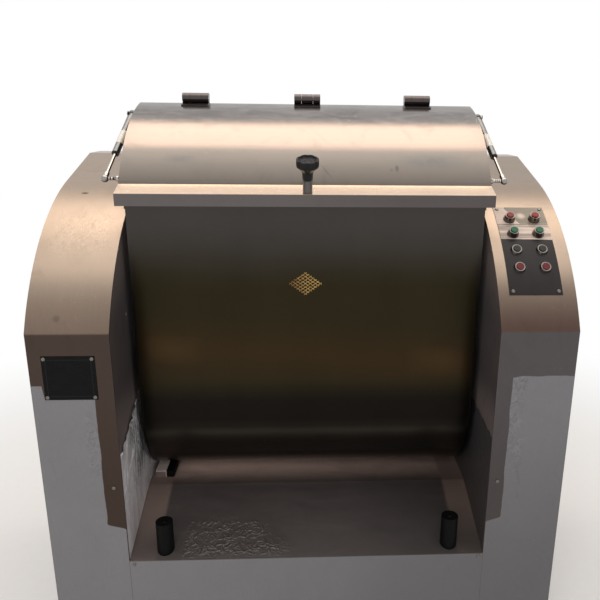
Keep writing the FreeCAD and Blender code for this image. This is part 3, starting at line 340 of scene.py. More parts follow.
class SteelSettings(PropertyGroup):
    """Colours of the steel sheets."""

    housing: swatch("Housing", "Brushed steel of the two curved housings", (0.272, 0.212, 0.165))
    # The fold and front colours are painted shade on the housings' steel.
    fold_shade_left: swatch("Left fold", "Browner steel of the left housing near its fold",
                      (0.176, 0.129, 0.098))
    fold_shade_right: swatch("Right fold", "Browner steel of the right housing near its fold",
                       (0.093, 0.058, 0.046))
    front_shade_left: swatch("Left front", "Darker steel of the left housing's flat front",
                       (0.064, 0.046, 0.037))
    front_shade_right: swatch("Right front", "Darker steel of the right housing's flat front",
                        (0.088, 0.079, 0.078))
    panel: swatch("Panels", "Steel of the side covers and the rear panel", (0.25, 0.215, 0.19))
    wall: swatch("Inner walls", "Steel of the walls beside the trough", (0.24, 0.19, 0.175))
    # The lower wall colour is painted shade beside the trough.
    wall_shade: swatch("Inner walls, lower", "Darker lower part of the walls beside the trough",
                     (0.085, 0.072, 0.073))
    lid: swatch("Lid", "Steel of the lid's top", (0.225, 0.205, 0.195))
    # The lid's front, ledge, band and lip colours are painted shade, highlight and reflection.
    lid_front_shade: swatch("Lid front", "Steel of the lid's front", (0.150, 0.132, 0.116))
    ledge: swatch("Lid ledge", "Brighter steel of the ledge over the lid's lip", (0.71, 0.54, 0.41))
    lid_painted_band: swatch("Lid band", "Warmer steel of the band where the lid begins to bend",
                     (0.221, 0.178, 0.154))
    lip: swatch("Lid lip", "Steel of the lid's folded front lip", (0.116, 0.103, 0.099))
    # The trough's outside colours are painted reflection and shade on its steel.
    trough_high: swatch("Trough, upper", "Trough front under the lid", (0.052, 0.0465, 0.043))
    trough_middle: swatch("Trough, middle", "Trough front at half height", (0.0255, 0.020, 0.0105))
    # Painted reflection: the warm band below.
    trough_painted_glow: swatch("Trough, warm band", "Brown heat tint above the trough's bend",
                        (0.040, 0.0235, 0.011))
    trough_low: swatch("Trough, lower", "Bend and underside of the trough", (0.0105, 0.009, 0.0075))
    trough_inside: swatch("Trough inside", "Clean steel that the dough touches", (0.42, 0.39, 0.36))
    # Both tray colours are painted light and shade on one dull steel.
    tray: swatch("Tray, rear", "Dull steel of the tray's flat rear part", (0.56, 0.40, 0.335))
    tray_front_shade: swatch("Tray, front", "Dull steel of the tray's front slope", (0.062, 0.052, 0.050))


class FilmSettings(PropertyGroup):
    """Protective films on the sheets."""

    colour: swatch("Film", "Grey protective film", (0.136, 0.131, 0.138))
    lift: length_value("Lift", "Distance of the film from the sheet under it",
                       0.0004, min=0.0001, max=0.002)
    crease: length_value("Crease height", "Height of the film's creases",
                         0.0008, min=0.0, max=0.003)
    left_top: length_value("Left film top", "Upper edge of the film on the left front", 0.742)
    left_rise: length_value("Left film rise", "How much higher the film is beside the plate", 0.034)
    right_top: length_value("Right film top", "Upper edge of the film on the right front", 0.790)
    strip_low: length_value("Bare strip low end", "Lower end of the bare strips beside the trough",
                            0.410)


class TrimSettings(PropertyGroup):
    """Small pieces."""

    foil_width: length_value("Foil width", "Width of the woven foil on the trough", 0.085, min=0.01)
    foil_height: length_value("Foil height", "Height of the woven foil on the trough",
                              0.060, min=0.01)
    foil_strips: IntProperty(
        name="Foil strips", description="Strips of the woven foil each way", min=2, default=7)
    foil_colour: swatch("Foil", "Gold foil", (0.40, 0.26, 0.085))
    label_start: length_value("Label start", "Start of the blank label from the spring's upper ball",
                              0.086)
    label_length: length_value("Label length", "Length of the blank label on a gas spring",
                               0.050, min=0.01)
    knob_lobes: IntProperty(
        name="Knob lobes", description="Finger lobes round the latch knob", min=3, default=8)


class StageSettings(PropertyGroup):
    """Camera and lights."""

    camera: FloatVectorProperty(
        name="Camera", description="Place of the camera", unit="LENGTH", size=3,
        default=(-0.0023, -1.7157, 1.3766))
    pitch: angle_value("Pitch", "How far the camera looks down", 0.28075)
    yaw: angle_value("Yaw", "How far the camera looks to the right", 0.05383)
    roll: angle_value("Roll", "How far the camera is rolled", 0.01194)
    lens: FloatProperty(name="Lens", description="Focal length in millimetres", default=39.0)
    shift: FloatProperty(
        name="Shift", description="Sideways shift of the frame, as a share of its width",
        default=-0.0677)
    room: light_value("Room light", "Light from all round", 0.40)
    lid_light: light_value("Lid softbox", "Brightness of the softbox over the lid's top", 4.3)
    side_light: light_value("Side softboxes", "Brightness of the softboxes over the housings", 2.65)
    front_light: light_value("Front softbox", "Brightness of the softbox ahead of the machine", 1.5)
    fill: light_value("Front fill", "Brightness of the soft light behind the camera", 4.5)


def brushed(name, colour_of, grain, roughness, wear=1.0, metallic=1.0):
    """Brushed sheet: fine lines along one axis, cloudy wiping marks, smears and scratches."""
    finish = Finish(name, {"Metallic": metallic})
    place = finish.place()
    lines = finish.cloud(place * grain, 1.0, 3.0, 0.6)
    clouds = finish.cloud(place, 2.6, 5.0, 0.55, 0.4)
    smears = finish.step(finish.cloud(place * (1.0, 1.0, 0.6), 13.0, 5.0, 0.62, 1.6), 0.50, 0.78)
    marks = finish.scratches(place, (0.5, 0.25, 0.9), 0.72)
    marks = marks + finish.scratches(place, (-0.4, 0.8, -0.5), 0.74)
    tone = 0.87 + lines * 0.10 + clouds * 0.20 - smears * (0.08 * wear) + marks * (0.20 * wear)
    colour = finish.tint(colour_of(finish, place), tone)
    rough = roughness + lines * 0.07 + smears * (0.08 * wear) + (clouds - 0.5) * 0.10
    height = lines * 0.5 + marks * -0.6 + smears * 0.2
    return finish.show(colour, rough, height, 0.00010)


def plain(colour):
    """A colour rule that is the same all over."""
    return lambda finish, place: colour


def shaded(colour, share):
    """A plain colour made darker or lighter."""
    return [part * share for part in colour]


def housing_colour(finish, place):
    """Warm steel on the curved top. Painted shade makes it duller and browner towards the fold,
    and darker on the flat front, most towards its bottom; painted light lightens the left
    crown's top.

    The left crown has a dent, painted as a dark oval spot of shade, a fingerprint near the fold
    and a field of fine rubbing marks.
    """
    steel = settings("mixer_steel")
    x, y, z = finish.axes(place)
    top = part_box("left_housing_shell")[0].y
    side = finish.step(x, -0.1, 0.1)
    front = finish.step(y, top + 0.004, top + 0.0025)
    front = front * finish.step(z, FOLD + 0.002, FOLD - 0.004)
    worn = finish.cloud(place, 5.0, 3.0)
    crown = finish.mix(worn, shaded(steel.housing, 0.96), shaded(steel.housing, 1.08))
    # Painted shade: duller and browner towards the fold.
    dull = finish.step(z, FOLD - 0.010, finish.step(side, 0.0, 1.0, 1.03, 1.06), 1.0, 0.0)
    crown = finish.mix(dull, crown, finish.mix(side, steel.fold_shade_left, steel.fold_shade_right))
    # Painted light: the left crown's top is lightened.
    bright = finish.step(side, 0.0, 1.0, 1.13, 1.0)
    crown = finish.tint(crown, finish.step(z, 1.16, 1.20, 1.0, bright))
    rubbed = finish.step(abs(z - 1.098), 0.055, 0.025) * finish.step(abs(x + 0.53), 0.085, 0.05)
    fine = finish.cloud(place * (1.0, 0.7, 0.45), 75.0, 4.0, 0.65, 2.2)
    strokes = finish.scratches(place * 2.6, (0.9, 0.35, 0.6), 0.60)
    strokes = strokes + finish.scratches(place * 2.6, (0.7, -0.5, -0.9), 0.62)
    crown = finish.tint(crown, 1.0 + rubbed * (fine * 0.7 - 0.35 + strokes * 0.16))
    # Painted shade: the flat front is darker, most towards its bottom.
    flat = finish.mix(side, steel.front_shade_left, steel.front_shade_right)
    flat = finish.tint(flat, finish.step(z, 0.45, 0.85, 0.84, 1.0))
    colour = finish.mix(front, crown, flat)
    # Painted shade of a dent as a dark oval spot, and a fingerprint.
    shade_and_smudge = finish.spot(place * (0.5, 1.0, 1.0), (-0.2795, -0.040, 1.1745), 0.0062)
    fingerprint = finish.spot(place, (-0.5576, -0.314, 0.930), 0.011) * 0.35
    shade_and_smudge = finish.maths("MAXIMUM", shade_and_smudge, fingerprint)
    return finish.mix(shade_and_smudge, colour, shaded(steel.housing, 0.22))


def from_trough_axis(finish, y, z):
    """Distance to the trough's axis below it, and to its upright middle plane above it."""
    axis = joint("trough_tilt")["pos_m"]
    below = finish.maths("MINIMUM", z - axis[2], 0.0)
    return finish.maths("SQRT", (y - axis[1]) ** 2.0 + below ** 2.0)


def trough_colour(finish, place):
    """Clean inside. The outside front is painted reflection, light and shade: grey at the top,
    olive, a warm glow, nearly black below, lighter again at the very bottom, and darker towards
    both ends. Its rear keeps the plain panel steel.
    """
    steel = settings("mixer_steel")
    x, y, z = finish.axes(place)
    from_axis = from_trough_axis(finish, y, z)
    skin = finish.step(from_axis, TROUGH_RADIUS - 0.0024, TROUGH_RADIUS - 0.0008)
    drift = finish.cloud(place, 2.2, 3.0) * 0.10 - 0.05
    # Painted reflection and shade: grey at the top of the front, olive below.
    colour = finish.mix(finish.step(z + drift, 0.96, 1.14), steel.trough_middle,
                        steel.trough_high)
    tilted = z + drift * 0.6 + x * 0.07
    # Painted reflection: a warm brown glow band, stronger near both ends.
    warm = finish.band(tilted, PAINTED_GLOW, 0.10)
    beside = finish.step(abs(abs(x) - 0.34), 0.10, 0.0)
    beside = beside * finish.band(tilted, PAINTED_GLOW, 0.055)
    colour = finish.mix(warm * 0.6, colour, steel.trough_painted_glow)
    colour = finish.mix(beside * 0.7, colour, shaded(steel.trough_painted_glow, 1.35))
    # Painted shade: nearly black on the bend and the underside.
    colour = finish.mix(finish.step(z, 0.735, 0.655), colour, steel.trough_low)
    # Painted light: the lowest part of the underside is lightened again.
    colour = finish.tint(colour, finish.step(z, 0.615, 0.592, 1.0, 1.5))
    colour = finish.tint(colour, finish.step(z, 0.595, 0.562, 1.0, 3.6))
    colour = finish.tint(colour, 0.85 + finish.cloud(place * (1.0, 0.3, 0.3), 7.0, 5.0, 0.6) * 0.30)
    # Painted shade: darker towards both ends, beside the inner walls.
    edge = finish.step(abs(x), 0.385, 0.419) * finish.step(z, 1.05, 0.8)
    colour = finish.tint(colour, 1.0 - edge * 0.45)
    # The rear keeps the plain panel steel, without the painted reflection.
    rear = finish.step(y, 0.15, 0.28)
    colour = finish.mix(rear, colour, steel.panel)
    return finish.mix(skin, steel.trough_inside, colour)


def end_colour(finish, place):
    """Clean where the dough touches an end plate; its edge and its outer face take the trough's
    painted shade, dark below and grey at the top.
    """
    steel = settings("mixer_steel")
    x, y, z = finish.axes(place)
    from_axis = from_trough_axis(finish, y, z)
    outer = finish.maths("MAXIMUM", finish.step(abs(x), 0.4195, 0.4205),
                         finish.step(from_axis, TROUGH_RADIUS - 0.0030, TROUGH_RADIUS - 0.0024))
    # Painted shade from the trough: dark below, grey at the top.
    shell = finish.mix(finish.step(z, 0.9, 1.12), steel.trough_low, steel.trough_high)
    return finish.mix(outer, steel.trough_inside, shell)


def lid_colour(finish, place):
    """Cloudy scuffed top, stains, pits and a scratch in front. Painted light and shade: a warm
    band, a bright ledge, a darker front, a darker lip and a top a little darker overall.
    """
    steel = settings("mixer_steel")
    x, y, z = finish.axes(place)
    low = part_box("lid_shell")[0]
    lip = finish.step(z, low.z + 0.0285, low.z + 0.0270) * finish.step(y, low.y + 0.02, low.y + 0.01)
    # Painted shade: the lid's front is darker, most towards its bottom.
    front = finish.tint(steel.lid_front_shade, finish.step(z, 1.222, 1.292, 0.66, 1.18))
    colour = finish.mix(finish.step(z, LID_BEND, LID_BEND + 0.040), front, steel.lid)
    # Painted reflection: a warm tint on the band where the lid bends.
    warm = finish.step(z, LID_BEND, LID_BEND + 0.015) * finish.step(z, 1.362, 1.345)
    colour = finish.mix(warm, colour, steel.lid_painted_band)
    clouds = finish.cloud(place * (0.45, 1.0, 1.0), 26.0, 5.0, 0.6, 1.0)
    # Cloudy wear on the top, which is also a little darker overall: painted shade.
    colour = finish.tint(colour, 1.0 + finish.step(z, 1.335, 1.37) * ((clouds - 0.5) * 1.1 - 0.12))
    scuffs = finish.step(finish.cloud(place * (1.0, 0.5, 1.0), 75.0, 3.0, 0.6, 1.5), 0.64, 0.74)
    scuffs = scuffs * finish.step(z, 1.350, 1.362) * finish.step(x, 0.05, 0.15)
    colour = finish.mix(scuffs * 0.6, colour, shaded(steel.lid, 2.2))
    drawn = finish.cloud(place * (0.35, 34.0, 34.0), 1.0, 2.0)
    colour = finish.tint(colour, 0.96 + drawn * 0.08)
    stains = finish.band(x, 0.30, 0.12) * finish.band(z, 1.266, 0.024)
    stains = stains + finish.band(x, -0.30, 0.05) * finish.band(z, 1.268, 0.014) * 0.8
    stains = stains * finish.cloud(place, 30.0, 4.0, 0.6, 1.0)
    colour = finish.mix(stains * 0.8, colour, shaded((0.9, 1.0, 1.1), 0.085))
    pits = finish.spot(place * (1.6, 1.0, 0.7), (0.3382, -0.1604, 0.8755), 0.0105)
    pits = finish.maths("MAXIMUM", pits, finish.spot(place, (0.1986, -0.163, 1.2475), 0.006) * 0.5)
    colour = finish.mix(pits * 0.55, colour, shaded(steel.lid, 0.25))
    scratch = finish.band(x * 0.749 + z * 0.663, 0.8574, 0.0014) * finish.band(x, 0.0445, 0.018)
    colour = finish.tint(colour, 1.0 - scratch * 0.5)
    # Painted highlight: the bright ledge over the lip.
    ledge = finish.step(z, low.z + 0.0455, low.z + 0.0440)
    ledge_colour = finish.tint(steel.ledge, 0.93 + finish.cloud(place, 12.0) * 0.14)
    colour = finish.mix(ledge, colour, ledge_colour)
    # Painted shade: the darker lip, darker still to the right.
    lip_colour = finish.tint(steel.lip, finish.step(x, -0.1, 0.3, 1.06, 0.86))
    return finish.mix(lip, colour, lip_colour)


def wall_colour(finish, place):
    """Brown steel at the top of an inner wall, in painted shade nearly black beside the trough's
    bend; one chip.
    """
    steel = settings("mixer_steel")
    z = finish.axes(place)[2]
    # Painted shade: nearly black beside the trough's bend, lighter again below it.
    colour = finish.mix(finish.step(z, 0.90, 1.10), steel.wall_shade, steel.wall)
    colour = finish.mix(finish.step(z, 0.76, 0.66) * 0.6, colour, steel.wall)
    chip = finish.spot(place, (-0.441, -0.185, 0.901), 0.0055)
    return finish.mix(chip * 0.8, colour, (0.75, 0.60, 0.50))


def tray_colour(finish, place):
    """Cloudy streaks over painted light and shade: a lighter rear, lightest at the left, a dark
    front slope, paler sides towards the rear and a darker right.
    """
    steel = settings("mixer_steel")
    x, y = finish.axes(place)[:2]
    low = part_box("drip_tray")[0]
    # Painted light and shade: a light rear and a dark front slope.
    rear = finish.step(y, low.y + 0.215, low.y + 0.335)
    colour = finish.mix(rear, steel.tray_front_shade, steel.tray)
    streaks = finish.cloud(place * (0.35, 1.0, 1.0), 16.0, 4.0, 0.6, 0.8)
    # Cloudy streaks, and painted light on the rear's left.
    colour = finish.tint(colour, 0.50 + streaks * 0.9 + finish.step(x, 0.1, -0.35) * rear * 0.30)
    # Painted reflection: paler sides, more towards the rear.
    sides = finish.step(abs(x), 0.372, 0.384) * finish.step(y, low.y + 0.02, low.y + 0.16, 0.25, 1.0)
    colour = finish.mix(sides * 0.7, colour, shaded(steel.tray, 0.40))
    # Painted shade: darker towards the right.
    return finish.tint(colour, finish.step(x, 0.0, 0.36, 1.0, 0.62))


def speckled(name, colour, roughness, scale, depth, shader_values):
    """Cast or sprayed surface: fine grain in the relief, and slow changes of tone."""
    finish = Finish(name, shader_values)
    place = finish.place()
    grain = finish.cloud(place, scale, 3.0, 0.6)
    clouds = finish.cloud(place, 9.0, 4.0)
    colour = finish.tint(colour, 0.75 + clouds * 0.35 + grain * 0.15)
    rough = roughness + grain * 0.10 + (clouds - 0.5) * 0.15
    return finish.show(colour, rough, grain, depth)


def lathe_turned(name, colour, roughness, lines):
    """Turned or drawn bright steel: tool lines along one axis and a faint stain."""
    finish = Finish(name, {"Metallic": 1.0})
    place = finish.place()
    rings = finish.cloud(place * lines, 1.0, 2.0)
    stain = finish.cloud(place, 30.0, 4.0)
    colour = finish.tint(colour, 0.8 + rings * 0.15 + stain * 0.2)
    rough = roughness + rings * 0.08 + stain * 0.08
    return finish.show(colour, rough, rings, 0.00006)


class MIXER_OT_sheets(Operator):
    """Brushed finishes of the housings, trough, lid and tray"""

    bl_idname = "mixer.sheets"
    bl_label = "Steel sheets"

    def execute(self, context):
        steel = settings("mixer_steel")
        dress(brushed("housing_steel", housing_colour, (420.0, 9.0, 9.0), 0.27, 1.2),
              "left_housing_shell", "right_housing_shell")
        dress(brushed("cover_steel", plain(steel.panel), (9.0, 420.0, 9.0), 0.30),
              "left_side_cover", "right_side_cover")
        dress(brushed("rear_steel", plain(steel.panel), (420.0, 9.0, 9.0), 0.30), "rear_panel")
        dress(brushed("wall_steel", wall_colour, (9.0, 9.0, 420.0), 0.30, 1.0, 0.3),
              "left_inner_panel", "right_inner_panel")
        dress(brushed("lid_steel", lid_colour, (6.0, 380.0, 380.0), 0.16, 0.8), "lid_shell")
        dress(brushed("hood_steel", plain(steel.lid), (6.0, 380.0, 380.0), 0.24), "rear_hood")
        dress(brushed("trough_steel", trough_colour, (6.0, 380.0, 380.0), 0.26, 0.5),
              "trough_shell")
        dress(brushed("trough_end_steel", end_colour, (9.0, 300.0, 9.0), 0.3),
              "left_trough_end", "right_trough_end")
        dress(brushed("tray_steel", tray_colour, (380.0, 8.0, 380.0), 0.34, 1.2, 0.2),
              "drip_tray")
        return {"FINISHED"}


def stud_material():
    """Bright balls and studs of the gas springs, banded with dark rings of painted reflection;
    grime roughens them and breaks the rings' edges.
    """
    finish = Finish("ball_steel", {"Metallic": 1.0})
    place = finish.place()
    grime_and_shade = finish.cloud(place, 150.0, 4.0, 0.6, 1.0)
    # Painted reflection: dark rings along the studs.
    rings = finish.cloud(place * (340.0, 5.0, 5.0), 1.0, 1.0)
    dark = finish.step(rings + (grime_and_shade - 0.5) * 0.5, 0.56, 0.44)
    colour = finish.mix(dark, (0.52, 0.48, 0.44), (0.040, 0.034, 0.032))
    return finish.show(colour, 0.12 + grime_and_shade * 0.12, grime_and_shade, 0.00006)


class MIXER_OT_machinery(Operator):
    """Finishes of the frame, the drives, the shafts and the screws"""

    bl_idname = "mixer.machinery"
    bl_label = "Frame and drives"

    def execute(self, context):
        dress(speckled("frame_enamel", (0.30, 0.32, 0.33), 0.38, 160.0, 0.0002,
                       {"Coat Weight": 0.25, "Coat Roughness": 0.25}),
              "base_frame", "left_bearing_plate", "right_bearing_plate", "electrical_box")
        dress(speckled("motor_enamel", (0.10, 0.17, 0.24), 0.36, 240.0, 0.0003,
                       {"Coat Weight": 0.3, "Coat Roughness": 0.2}),
              "main_motor", "tilt_gear_motor")
        dress(speckled("cast_iron", (0.12, 0.12, 0.125), 0.5, 420.0, 0.0004, {"Metallic": 0.6}),
              "main_bearings", "countershaft_cartridge", "countershaft_pulley", "motor_pulley")
        bright = (
            ("gear_steel", (0.36, 0.34, 0.32), 0.30, (500.0, 12.0, 12.0),
             ("main_gear", "countershaft", "tilt_gear", "tilt_pinion")),
            ("turned_steel", (0.55, 0.54, 0.53), 0.16, (700.0, 14.0, 14.0),
             ("mixing_shaft", "kneading_paddles", "hinge_pins", "latch_spindle", "feet")),
            ("rod_steel", (0.30, 0.28, 0.26), 0.09, (90.0, 90.0, 90.0),
             ("left_strut_rod", "right_strut_rod")),
            ("zinc", (0.17, 0.155, 0.14), 0.22, (300.0, 300.0, 300.0),
             ("panel_screws", "bumper_bolts")),
            ("hinge_steel", (0.085, 0.072, 0.070), 0.16, (500.0, 20.0, 20.0),
             ("lid_hinge_leaves", "trough_hinge_leaves")),
            ("chrome", (0.15, 0.135, 0.125), 0.10, (40.0, 40.0, 40.0), ("button_bodies",)),
            ("bush_steel", (0.115, 0.112, 0.110), 0.24, (8.0, 8.0, 8.0), ("latch_bush",)))
        for name, colour, roughness, lines, nodes in bright:
            dress(lathe_turned(name, colour, roughness, lines), *nodes)
        dress(stud_material(), "lid_strut_studs", "trough_strut_studs")
        dress(speckled("spring_enamel", (0.02, 0.02, 0.021), 0.22, 300.0, 0.00005,
                       {"Coat Weight": 0.8, "Coat Roughness": 0.08}),
              "left_strut_tube", "right_strut_tube")
        return {"FINISHED"}


def rest_block_material():
    """Black rubber with a worn pale plate over its left part; the plate's top and right edges carry
    a painted highlight.
    """
    finish = Finish("rest_rubber", {"Specular IOR Level": 0.06})
    place = finish.place()
    x, _, z = finish.axes(place)
    low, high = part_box("rest_block")
    grain = finish.cloud(place, 500.0, 2.0)
    plate = finish.step(x, low.x + 0.030, low.x + 0.028)
    # Painted highlight on the plate's right edge and along the top edge.
    rim = finish.maths("MAXIMUM", finish.band(x, low.x + 0.028, 0.002),
                       finish.step(z, high.z - 0.0035, high.z - 0.001))
    rubber = finish.tint((0.004, 0.004, 0.004), 0.7 + grain * 0.6)
    worn = finish.tint((0.17, 0.13, 0.12), 0.6 + finish.cloud(place, 60.0) * 0.8)
    worn = finish.mix(rim * 0.8, worn, (0.62, 0.52, 0.48))
    return finish.show(finish.mix(plate, rubber, worn), 0.5 + grain * 0.2, grain, 0.0003)


def nameplate_material():
    """Blank black plate: a thin raised line runs inside its edge, with dust in the grain."""
    finish = Finish("nameplate_black", {"Specular IOR Level": 0.07})
    place = finish.place()
    x, _, z = finish.axes(place)
    low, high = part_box("nameplate")
    across = abs(x - (low.x + high.x) / 2) - (high.x - low.x) / 2
    upright = abs(z - (low.z + high.z) / 2) - (high.z - low.z) / 2
    inset = finish.maths("MAXIMUM", across, upright)
    line = finish.band(inset, -0.0085, 0.0011)
    rows = finish.cloud(place * (0.25, 1.0, 1.0), 130.0, 3.0, 0.6)
    dust = finish.step(finish.cloud(place, 260.0, 4.0, 0.7), 0.56, 0.76)
    colour = finish.tint((0.0058, 0.0058, 0.0060), 0.35 + rows * 1.0 + dust * 1.6)
    colour = finish.mix(line * 0.4, colour, (0.035, 0.033, 0.032))
    return finish.show(colour, 0.46 + dust * 0.2, rows * 0.4 + line, 0.0002)


def control_plate_material():
    """Dark plate whose upper half is still under clear film; the film's pale and dull patches
    and its bright spot are painted reflection of the room.
    """
    finish = Finish("control_plate_black", {"Specular IOR Level": 0.22})
    place = finish.place()
    x, _, z = finish.axes(place)
    covered = finish.step(z + x * 0.012, 1.0925, 1.0935)
    sway = finish.cloud(place, 30.0, 2.0, 0.5, 0.6) - 0.5
    # Painted reflection: duller film right of a slanted line above the seam.
    slant = x + (z - 1.12) * 0.9 + sway * 0.016
    right = finish.step(z, PLATE_SEAM + 0.0005, PLATE_SEAM + 0.0020)
    right = right * finish.step(slant, 0.519, 0.5215)
    # Painted highlight: one bright spot.
    spot = finish.spot(place, (0.531, -0.118, 1.127), 0.017)
    bright = 1.0 - right * (1.0 - spot)
    streaks = finish.step(finish.cloud(place * (0.12, 3.0, 3.0), 34.0, 3.0, 0.6, 0.4), 0.36, 0.68)
    seam = finish.band(z + sway * 0.004, PLATE_SEAM, 0.0016)
    # Painted reflection: pale and dull film colours.
    film = finish.mix(bright, (0.235, 0.20, 0.155), (0.66, 0.53, 0.45))
    # Below the seam the film is darker except in its streaks: painted reflection too.
    lower = finish.step(z, PLATE_SEAM, PLATE_SEAM - 0.0010)
    film = finish.tint(film, 0.90 - lower * (1.0 - streaks) * 0.42 + (streaks - 0.5) * 0.12)
    film = finish.mix(seam * 0.8, film, (0.07, 0.06, 0.055))
    wiped = finish.cloud(place * (1.0, 0.3, 0.3), 40.0, 4.0, 0.6, 1.0)
    dust = finish.step(finish.cloud(place, 210.0, 5.0, 0.7), 0.60, 0.80)
    dark = finish.tint((0.012, 0.0095, 0.0095), 0.5 + wiped * 1.0 + dust * 1.2)
    rough = finish.step(covered, 0.0, 1.0, 0.34, 0.18) + wiped * 0.1
    return finish.show(finish.mix(covered, dark, film), rough, dust + streaks * covered, 0.00012)


def cap_material(name, colour):
    """Moulded plastic cap with a slow random change of tone."""
    finish = Finish(name, {"Specular IOR Level": 0.2, "Coat Weight": 0.05, "Coat Roughness": 0.1,
                           "Subsurface Weight": 0.05, "Subsurface Radius": (0.002, 0.001, 0.001)})
    place = finish.place()
    grain = finish.cloud(place, 900.0, 2.0)
    worn = finish.cloud(place, 120.0, 3.0)
    colour = finish.tint(colour, 0.8 + worn * 0.4)
    return finish.show(colour, 0.25 + worn * 0.15 + grain * 0.05, grain, 0.00003)


class MIXER_OT_plastics(Operator):
    """Finishes of the rubber, the plates, the caps and the gland"""

    bl_idname = "mixer.plastics"
    bl_label = "Rubber and plastic"

    def execute(self, context):
        dress(speckled("moulded_rubber", (0.0035, 0.0035, 0.0035), 0.38, 500.0, 0.0003,
                       {"Specular IOR Level": 0.06}), "bumpers", "shaft_seals")
        dress(speckled("belt_rubber", (0.02, 0.02, 0.02), 0.6, 700.0, 0.0004, {}),
              "drive_belts")
        dress(rest_block_material(), "rest_block")
        dress(control_plate_material(), "control_plate")
        dress(nameplate_material(), "nameplate")
        caps = {"red_stop": (0.17, 0.005, 0.004), "green_start": (0.003, 0.085, 0.040),
                "black_tilt": (0.011, 0.011, 0.009)}
        for button, colour in caps.items():
            shade = button.split("_")[0]
            dress(cap_material(shade + "_cap", colour), button + "_button_left",
                  button + "_button_right")
        dress(cap_material("lamp_red", (0.105, 0.009, 0.011)), "signal_lamps")
        dress(speckled("gland_nylon", (0.03, 0.03, 0.03), 0.45, 400.0, 0.0001, {}),
              "cable_gland")
        return {"FINISHED"}


def wall_film_material(name, colour):
    """Loose film on a wall: folds run down it, closer at its rear. Their pale and dark tones are
    painted light and shade, the dark strongest at the rear.
    """
    finish = Finish(name, {"Metallic": 0.1, "Coat Weight": 0.2, "Coat Roughness": 0.2})
    place = finish.place()
    y, z = finish.axes(place)[1:]
    folds = finish.cloud(place * (1.0, 1.0, 0.16), 48.0, 4.0, 0.62, 1.2)
    fine = finish.cloud(place * (1.0, 1.0, 0.4), 130.0, 3.0, 0.6, 2.0)
    crumpled = finish.step(y, -0.27, -0.20) * finish.step(z, 0.42, 0.50)
    # Painted shade in the folds, strongest where the film is crumpled at the rear.
    dark = finish.step(folds + (fine - 0.5) * 0.5, 0.58, 0.40) * (crumpled * 0.75 + 0.18)
    # Painted light on the raised folds; lighter towards the bottom.
    tone = 0.72 + folds * 0.5 + fine * 0.14 + finish.step(z, 0.50, 0.32) * 0.1
    colour = finish.tint(colour, tone)
    colour = finish.mix(dark, colour, shaded(settings("mixer_film").colour, 0.25))
    return finish.show(colour, 0.26 + fine * 0.1, folds + fine * 0.4, 0.0008)


def film_material(name, colour, roughness, metallic, weight):
    """Plastic film: slow stains, fine wrinkles drawn out both ways and a soft clear gloss."""
    finish = Finish(name, {"Metallic": metallic, "Coat Weight": 0.2, "Coat Roughness": 0.22})
    place = finish.place()
    x, _, z = finish.axes(place)
    stains = finish.cloud(place, 3.4, 5.0, 0.6, 0.8)
    fine = finish.cloud(place * (1.0, 1.0, 0.35), 90.0, 4.0, 0.6, 2.0)
    cross = finish.cloud(place * (0.3, 1.0, 1.0), 60.0, 3.0, 0.6, 2.5)
    specks = finish.step(finish.cloud(place, 140.0, 2.0), 0.76, 0.81)
    torn = finish.step(abs(abs(x) - 0.492), 0.034, 0.012) * finish.step(z, 0.50, 0.60)
    crumple = finish.cloud(place * (1.0, 1.0, 0.8), 95.0, 4.0, 0.68, 1.4)
    crumple = (crumple - 0.5) * torn * finish.step(finish.cloud(place, 12.0, 2.0), 0.36, 0.56)
    rubbed = finish.scratches(place, (0.3, 1.35, 0.2), 0.70)
    shade = finish.step(x, -0.25, 0.50) * finish.step(z, 0.80, 0.25)
    # Painted light and shade on the crumples by the torn edge, which are also in the relief.
    tone = 0.80 + stains * 0.36 + fine * 0.12 - specks * 0.4 + crumple * 1.8
    colour = finish.tint(colour, (tone - rubbed * 0.14) * (1.0 - shade * 0.36))
    rough = roughness + stains * 0.12 + fine * 0.08
    return finish.show(colour, rough, fine + cross * 0.7 + crumple * 2.5, 0.0004 * weight)


def film_grid(rows, columns, low, high, left_of, right_of, top_wave):
    """Flat coordinates of a film: width between two edges that depend on the height.

    The top row follows a wave, and the rim goes from 0 at the edges to 1 inside.
    """
    t, s = np.meshgrid(np.linspace(0, 1, rows), np.linspace(0, 1, columns), indexing="ij")
    b = low + t * (high - low)
    left = left_of(b)
    right = right_of(b)
    a = left + s * (right - left)
    b = b + t ** 12 * top_wave(a)
    rim = np.clip(np.minimum(np.minimum(s, 1 - s) * columns, (1 - t) * rows) / 4, 0, 1)
    return a, b, rim


def smooth_step(value, low, high):
    """0 below low, 1 above high and an even S between them."""
    t = np.clip((value - low) / (high - low), 0, 1)
    return t * t * (3 - 2 * t)


